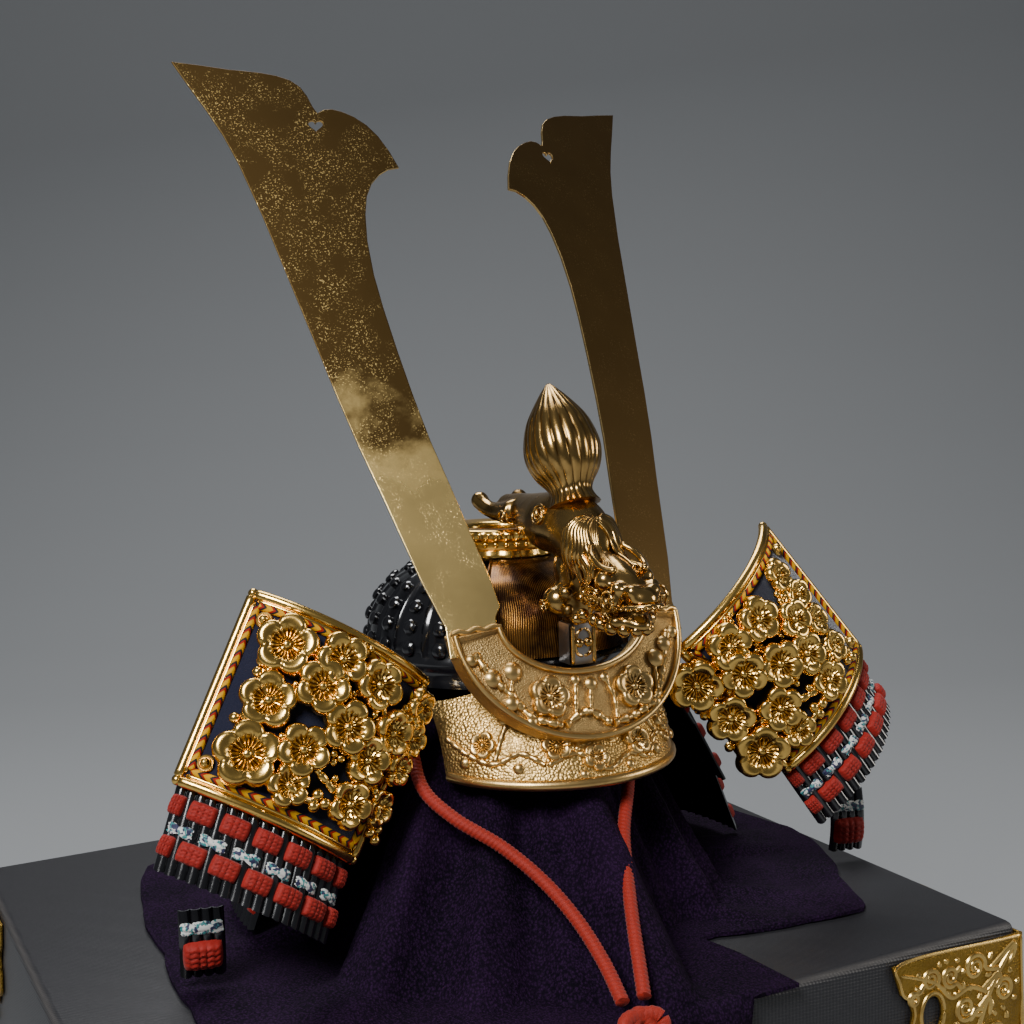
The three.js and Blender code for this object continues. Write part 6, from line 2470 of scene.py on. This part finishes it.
# ------------------------------------------------------------------ wings
@dataclass
class Wing:
    """One turned-back wing: felt, gold rim, braided piping, rivets, the cast spray and its flap."""

    side: str
    seat: tuple[float, float, float]
    yaw: float
    pitch: float
    roll: float
    radius: float = 44.0
    start_at: float = 18.5
    end_at: float = 98.0
    height: float = 55.0
    across: float = 75.3
    edge: float = 2.4
    # across from the viewer's left, down, radius
    flowers: Rows = ((16, 12, 7.8), (30, 9.7, 6.8), (28, 18.6, 6.8), (16.8, 27.2, 7.2), (41.8, 11, 6.6),
                     (37.8, 25.2, 6.8),
                     (17, 42, 8.2), (29.6, 35.4, 6.6), (46.4, 30.4, 6.2), (29.6, 45, 5.4), (47.2, 42.4, 6),
                     (50.6, 20.6, 6),
                     (58.6, 9.6, 5.2), (59.4, 18.4, 4.8), (57.6, 27.6, 4.8), (58.4, 39, 5))
    buds: Rows = ((12.6, 20, 3.2), (12.4, 34.6, 3.2), (38.6, 45.4, 3.4), (60.6, 45.6, 3.2), (22.5, 21.5, 2.2),
                  (36.5, 17.0, 2.2), (45, 19.5, 2.4), (23.2, 35.6, 2.2), (38.6, 33.4, 2.4), (52.6, 35.2, 2.6),
                  (35.4, 3.8, 2.0), (53.2, 13.4, 2.4), (52.4, 27, 2.2), (40.4, 39.4, 2.2))
    stems: tuple = ((0, 16), (16, 3), (3, 17), (17, 6), (7, 5), (9, 18), (10, 15), (15, 19), (14, 11),
                    (11, 12), (5, 2),
                    (7, 6), (5, 8), (4, 11), (8, 10), (2, 3), (7, 10), (1, 4), (8, 13), (18, 10), (0, 1))

    @property
    def flip(self) -> int:
        """-1 on the helmet's left as it is seen from the front, 1 on its right."""
        return -1 if self.side == "left" else 1

    @property
    def ends(self) -> tuple[float, float]:
        """The arc lengths where the wing starts and ends."""
        return self.radius * math.radians(self.start_at), self.radius * math.radians(self.end_at)

    def posed(self, points: np.ndarray) -> np.ndarray:
        """Carries wing coordinates to the helmet's frame.

        Args:
            points: The points.

        Returns:
            The points in the helmet's frame.
        """
        pose = turn("Z", self.yaw) @ turn("X", self.pitch) @ turn("Y", self.roll)
        out = np.asarray(points) @ pose.T + np.array(self.seat)
        return out * np.array([self.flip, 1, 1])

    def raw(self, along: np.ndarray, depth: np.ndarray, over: np.ndarray | float) -> np.ndarray:
        """The wing's own coordinates: arc length from the fold, depth and height over the face.

        Args:
            along: The arc length from the fold.
            depth: How far below the top edge.
            over: How far over the face.

        Returns:
            The points.
        """
        along, depth = np.broadcast_arrays(np.asarray(along, float), np.asarray(depth, float))
        angle = along / self.radius
        grow = 1 - 0.05 * depth / self.height
        x = self.radius * np.sin(angle) * grow + over * np.sin(angle)
        y = self.radius * (1 - np.cos(angle)) * grow - over * np.cos(angle)
        return np.stack([x, y, -depth], axis=-1)

    def point(self, along: np.ndarray, depth: np.ndarray, over: np.ndarray | float = 0.0) -> np.ndarray:
        """A point over the wing, in the helmet's frame."""
        return self.posed(self.raw(along, depth, over))

    def seen(self, x: float, z: float, over: float) -> np.ndarray:
        """A point over the wing from its place across as it is seen from the front."""
        along = self.across - x if self.side == "left" else x - 3.7
        return self.point(along, z, over)

    def panel(self) -> bpy.types.Object:
        """The felt.

        Returns:
            The piece.
        """
        start, end = self.ends
        inset = self.edge + 0.3
        felt = Bench.grid("wing_felt", lambda u, v: self.point(start + inset + u * (end - start - 2 * inset),
                                                               inset + v * (self.height - 2 * inset), -0.8),
                                                               60, 40)
        return Bench.wall(felt, 1.6)

    def border(self, inset: float) -> list[list[tuple[float, float]]]:
        """The wing's four sides, inset from its edge, as lengths along and down.

        Args:
            inset: How far inside the edge.

        Returns:
            The four sides.
        """
        start, end = self.ends
        a, b, c, d = start + inset, end - inset, inset, self.height - inset
        corners = [(a, c), (b, c), (b, d), (a, d), (a, c)]
        return [[corners[i], corners[i + 1]] for i in range(4)]

    def run(self, side: list[tuple[float, float]], over: float, spacing: float) -> np.ndarray:
        """A side of the border as points over the face.

        Args:
            side: One side of the border.
            over: How far over the face.
            spacing: The distance between points.

        Returns:
            The points.
        """
        (a0, d0), (a1, d1) = side
        count = max(8, round(math.hypot(a1 - a0, d1 - d0) / spacing))
        share = np.linspace(0, 1, count)
        return self.point(a0 + (a1 - a0) * share, d0 + (d1 - d0) * share, over)

    def rim(self) -> bpy.types.Object:
        """The double gold rim and the piping inside it.

        Returns:
            The piece.
        """
        start, end = self.ends
        middle = self.point((start + end) / 2, self.height / 2, 30.0)
        facing = tuple(middle - self.point((start + end) / 2, self.height / 2, 0.0))
        gold, piping = [], []
        for side in self.border(1.25):
            gold.append(Bench.tube("roll", self.run(side, -0.2, 1.2), 1.45, 14, facing))
        for a, d in (corner for corner, _ in self.border(1.25)):
            ball = Bench.primitive("uv_sphere", "corner", segments=16, ring_count=10, radius=1.45 * MM)
            gold.append(Bench.move(ball, Bench.points(ball) + SEAT.world(self.point(a, d, -0.2))))
        for side in self.border(3.0):
            gold.append(Bench.tube("bead", self.run(side, 0.25, 1.2), 0.62, 10, facing))
        for side in self.border(4.3):
            line = self.run(side, 0.45, 0.5)
            cord = Bench.tube("piping", line, self.braid(), 16, facing, 0.8)
            Bench.scale_uv(cord, 1.0, float(np.linalg.norm(np.diff(line, axis=0), axis=1).sum()))
            piping.append(cord)
        for piece in gold:
            piece.data.materials.append(Finish.CAST.material)
        for piece in piping:
            piece.data.materials.append(Finish.PIPING.material)
        return Bench.join(f"gold_rim_{self.side}", gold + piping)

    @staticmethod
    def braid() -> Callable[[np.ndarray, np.ndarray], np.ndarray]:
        """The piping's radius: chevron strands a little raised."""
        def radius(u: np.ndarray, s: np.ndarray) -> np.ndarray:
            """The radius at a place on the braid.

            Args:
                u: The share across or round, from 0 to 1.
                s: The length along.

            Returns:
                The radius at each place.
            """
            fold = np.abs(u - 0.5) * 2.2 * 3.4
            return 0.95 + 0.14 * np.abs(np.sin(np.pi * (s + fold) / 1.133))
        return radius

    def spray(self) -> bpy.types.Object:
        """The cast openwork spray of plum blossoms, buds and stems.

        Returns:
            The piece.
        """
        large, small = [], []
        for k, (x, z, r) in enumerate(self.flowers):
            lift = 1.9 + (k % 3) * 0.85
            tilt = 0.12 * math.sin(k * 2.3)
            normal = self.seen(x, z, 1) - self.seen(x, z,
                                                    0) + tilt * (self.seen(x + 1, z, 0) - self.seen(x, z, 0))
            places = large if r > 7 else small
            places.append(upright(self.seen(x, z, lift), normal, (r * 1.13, r * 0.95), 0.45 * k))
        pieces = [Bench.copies("large", Blossom(tall=0.34, cup=0.17, stamens=20).piece(75, 22), large),
                  Bench.copies("small", Blossom(tall=0.36, cup=0.17).piece(60, 20), small)]
        balls = []
        for k, (x, z, r) in enumerate(self.buds):
            normal = self.seen(x, z, 1) - self.seen(x, z, 0)
            for j in range(3):
                a = j * 2.1 + k
                spot = self.seen(x + r * 0.52 * math.cos(a), z + r * 0.52 * math.sin(a), 2.0 + 0.3 * j)
                balls.append(upright(spot, normal, (r * 0.55, r * 0.62), 0.0))
        pieces.append(Bench.copies("buds", dome("bud", 6, 14), balls))
        places = [*self.flowers, *self.buds]
        for k, (a, b) in enumerate(self.stems):
            (x0, z0, _), (x1, z1, _) = places[a], places[b]
            bend = 1.5 * math.sin(k * 1.7)
            middle = self.seen((x0 + x1) / 2 + bend * 0.5, (z0 + z1) / 2 + bend, 2.7)
            line = curve_through([self.seen(x0, z0, 2.2), middle, self.seen(x1, z1, 2.2)], 0.6)
            knots = lambda u, s: 1.15 * (1 + 0.2 * np.sin(s * 1.6) + 0.12 * np.sin(s * 3.9 + 1))
            pieces.append(Bench.tube("stem", line, knots, 9))
        return Bench.join(f"cast_spray_{self.side}", pieces)

    def rivet(self, z: float) -> bpy.types.Object:
        """A domed rivet on its collar.

        Args:
            z: Its depth below the top edge.

        Returns:
            The rivet.
        """
        def surface(u: np.ndarray, v: np.ndarray) -> np.ndarray:
            """The dome, its step and its collar's round edge.

            Args:
                u: The share across or round, from 0 to 1.
                v: The share along or down, from 0 to 1.

            Returns:
                The points.
            """
            rows = np.array([(0, 2.3), (0.9, 2.1), (1.5, 1.5), (1.75, 0.8), (2.0, 0.62), (2.55, 0.75),
                             (2.85, 0.4), (2.8, 0.0),
                             (0, 0.0)])
            share = np.linspace(0, 1, len(rows))
            r, h = np.interp(v, share, rows[:, 0]), np.interp(v, share, rows[:, 1])
            return stack(r * np.cos(2 * np.pi * u), r * np.sin(2 * np.pi * u), h)
        source = Bench.shell("rivet", surface, 30, 24, seat=False)
        along = self.ends[1] - 7.4
        normal = self.point(along, z, 1.0) - self.point(along, z, 0.0)
        return Bench.copies("domed_rivet", source,
                            [upright(self.point(along, z, 0.1), normal, (0.84, 1.0), 0.0)])

    def flap(self) -> bpy.types.Object:
        """The laced flap below the wing.

        Returns:
            The piece.
        """
        start, end = self.ends
        start -= 1
        drop = np.array([-1.4, -3.3, -20.6])
        length, tall = end - start, float(np.linalg.norm(drop))

        def face(along: np.ndarray, down: np.ndarray, over: np.ndarray) -> np.ndarray:
            """The flap's face: behind the wing, then hanging from its lower edge.

            Args:
                along: How far along.
                down: How far down.
                over: How far over the face.

            Returns:
                The points.
            """
            along = (end - along) if self.side == "left" else (start + along)
            down = np.asarray(down, float) - 9.0
            base = self.raw(along, self.height + np.minimum(down, 0.0), np.asarray(over) - 3.4)
            share = np.maximum(down, 0.0) / tall
            return self.posed(base + np.multiply.outer(share, drop))

        lame = corrugated("scales", face, length, tall + 9.0, 30, 0.8)
        lacing = Lacing().lay(lambda a, d: face(a, d + 10.6, 0.25), length, 19.0, 22, (0.14, 0.69))
        return Bench.join(f"laced_flap_{self.side}", [lame, *lacing])

    def build(self) -> None:
        """Makes the wing."""
        felt = self.panel()
        felt.name = f"wing_felt_{self.side}"
        Bench.deliver(felt, Finish.FELT.material, "navy_felt", f"wing_panel_{self.side}")
        finishes = [Finish.CAST.material, Finish.PIPING.material]
        Bench.deliver(self.rim(), finishes, "stamped_brass", f"wing_rim_{self.side}", angle=60)
        Bench.deliver(self.spray(), Finish.CAST.material, "cast_gold", f"wing_spray_{self.side}", angle=50)
        for k, z in enumerate((7.4, 47.6)):
            name = f"wing_rivet_{self.side}_{k + 1}"
            Bench.deliver(self.rivet(z), Finish.CAST.material, "stamped_brass", name,
                          angle=40).name = f"{name}_dome"
        laced = [finish.material for finish in LACED]
        Bench.deliver(self.flap(), laced, "black_lacquer", f"wing_flap_{self.side}", angle=60)


# ------------------------------------------------------------------ neck guard
@dataclass
class NeckGuard:
    """The three laced lames that spread round the neck, and the two small tips in front."""

    axis: float = 40.0
    # name, upper radius and height, lower radius and height, how far it runs past the side
    lames: tuple = (("upper", 46.5, -20.8, 60.0, -42.5, 27.0), ("middle", 61.6, -40.5, 74.5, -65.5, 14.0),
                    ("lower", 76.2, -63.5, 86.0, -88.0, 4.0))
    # side, centre, width, height, turn
    tips: tuple = (("left", (106, 12.5, -70.5), 11.5, 18.0, 12.0),
                   ("right", (108, 4, -70), 11.5, 20.0, -14.0))

    def lame(self, row: tuple) -> None:
        """Makes one lame with its lacing.

        Args:
            row: The sizes and places of this one.
        """
        name, r0, z0, r1, z1, past = row
        tall = math.hypot(r1 - r0, z1 - z0)
        span = math.radians(180 + 2 * past)
        reach = (r0 + r1) / 2

        def face(along: np.ndarray, down: np.ndarray, over: np.ndarray) -> np.ndarray:
            """The lame's cone: along from the wearer's left round the back.

            Args:
                along: How far along.
                down: How far down.
                over: How far over the face.

            Returns:
                The points.
            """
            share = np.asarray(down, float) / tall
            angle = np.radians(-past) + span * (1 - np.asarray(along, float) / (reach * span))
            angle = np.radians(180 + past) - (angle - np.radians(-past))
            r = r0 + (r1 - r0) * share + over
            z = z0 + (z1 - z0) * share + 0.4 * np.asarray(over)
            return np.stack(np.broadcast_arrays(r * np.cos(angle), self.axis + r * np.sin(angle), z), axis=-1)

        lame = corrugated("scales", lambda a, d, o: face(a, d, o), reach * span, tall, 8, 0.8)
        probe = face(1.0, 5.0, 1.0) - face(1.0, 5.0, 0.0)
        right = face(1.5, 5.0, 0.0) - face(0.5, 5.0, 0.0)
        below = face(1.0, 5.5, 0.0) - face(1.0, 4.5, 0.0)
        length = reach * span
        back = float(np.dot(np.cross(right, -below), probe)) < 0
        laid = (lambda a, d: face(length - a, d, 0.25)) if back else (lambda a, d: face(a, d, 0.25))
        lacing = Lacing().lay(laid, length, tall, 8, (0.34, 0.76))
        piece = Bench.join(f"laced_lame_{name}", [lame, *lacing])
        laced = [finish.material for finish in LACED]
        Bench.deliver(piece, laced, "black_lacquer", f"neck_lame_{name}", angle=60)

    def tip(self, row: tuple) -> None:
        """Makes one small tip: scales, a red pad and a stitch over it.

        Args:
            row: The sizes and places of this one.
        """
        side, centre, wide, tall, yaw = row
        flip = -1 if side == "left" else 1

        def face(along: np.ndarray, down: np.ndarray, over: np.ndarray) -> np.ndarray:
            """The tip's face, bowed out a little.

            Args:
                along: How far along.
                down: How far down.
                over: How far over the face.

            Returns:
                The points.
            """
            x = np.asarray(along, float) - wide / 2
            bow = -1.6 * np.sin(np.pi * np.clip(np.asarray(down) / tall, 0, 1))
            depth = bow - np.asarray(over)
            flat = np.stack(np.broadcast_arrays(x, depth, -np.asarray(down, float)), axis=-1)
            placed = flat @ turn("Z", flip * yaw).T + np.array([flip * centre[0], centre[1], centre[2]])
            return placed

        lame = corrugated("scales", face, wide, tall, 14, 0.8)
        pad = Lacing(wide=wide * 0.9, tall=tall * 0.42, rise=2.6)
        size = (pad.wide, pad.tall, pad.rise)
        red = Bench.copies("pad", pad.pad(22),
                           [pad.place(lambda a, d: face(a, d, 0.3), wide / 2, tall * 0.66, size)])
        red.data.materials.append(Finish.RED_PAD.material)
        spots = [pad.place(lambda a, d: face(a, d, 0.4), wide / 2 + s, tall * 0.26, (7.0, 4.6, 1.5))
                 for s in (-1.6, 1.6)]
        pale = Bench.copies("stitch", pad.stitch(), spots)
        pale.data.materials.append(Finish.STITCH.material)
        piece = Bench.join(f"laced_tip_{side}", [lame, red, pale])
        laced = [finish.material for finish in LACED]
        Bench.deliver(piece, laced, "black_lacquer", f"lame_tip_{side}", angle=60)

    def build(self) -> None:
        """Makes the lames and the tips."""
        for row in self.lames:
            self.lame(row)
        for row in self.tips:
            self.tip(row)


# ------------------------------------------------------------------ assembly
def main() -> None:
    """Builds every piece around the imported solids, in order."""
    logging.basicConfig(level=logging.INFO, format="%(name)s %(message)s")
    studio = Studio()
    studio.camera()
    ChinCords().build()
    studio.build()
    Drape().build()
    Chest().build()
    Bowl().build()
    Visor().build()
    HornHolder().build()
    Horn("left", 16.0, 25.2).build()
    Horn("right", 13.5, 28.6).build()
    Crest().build()
    Wing("left", (32, 15, -23), -47.0, 16.5, -32.5).build()
    Wing("right", (27, 3, -22), -40.0, 22.0, -36.5).build()
    NeckGuard().build()


if __name__ == "__main__":
    main()
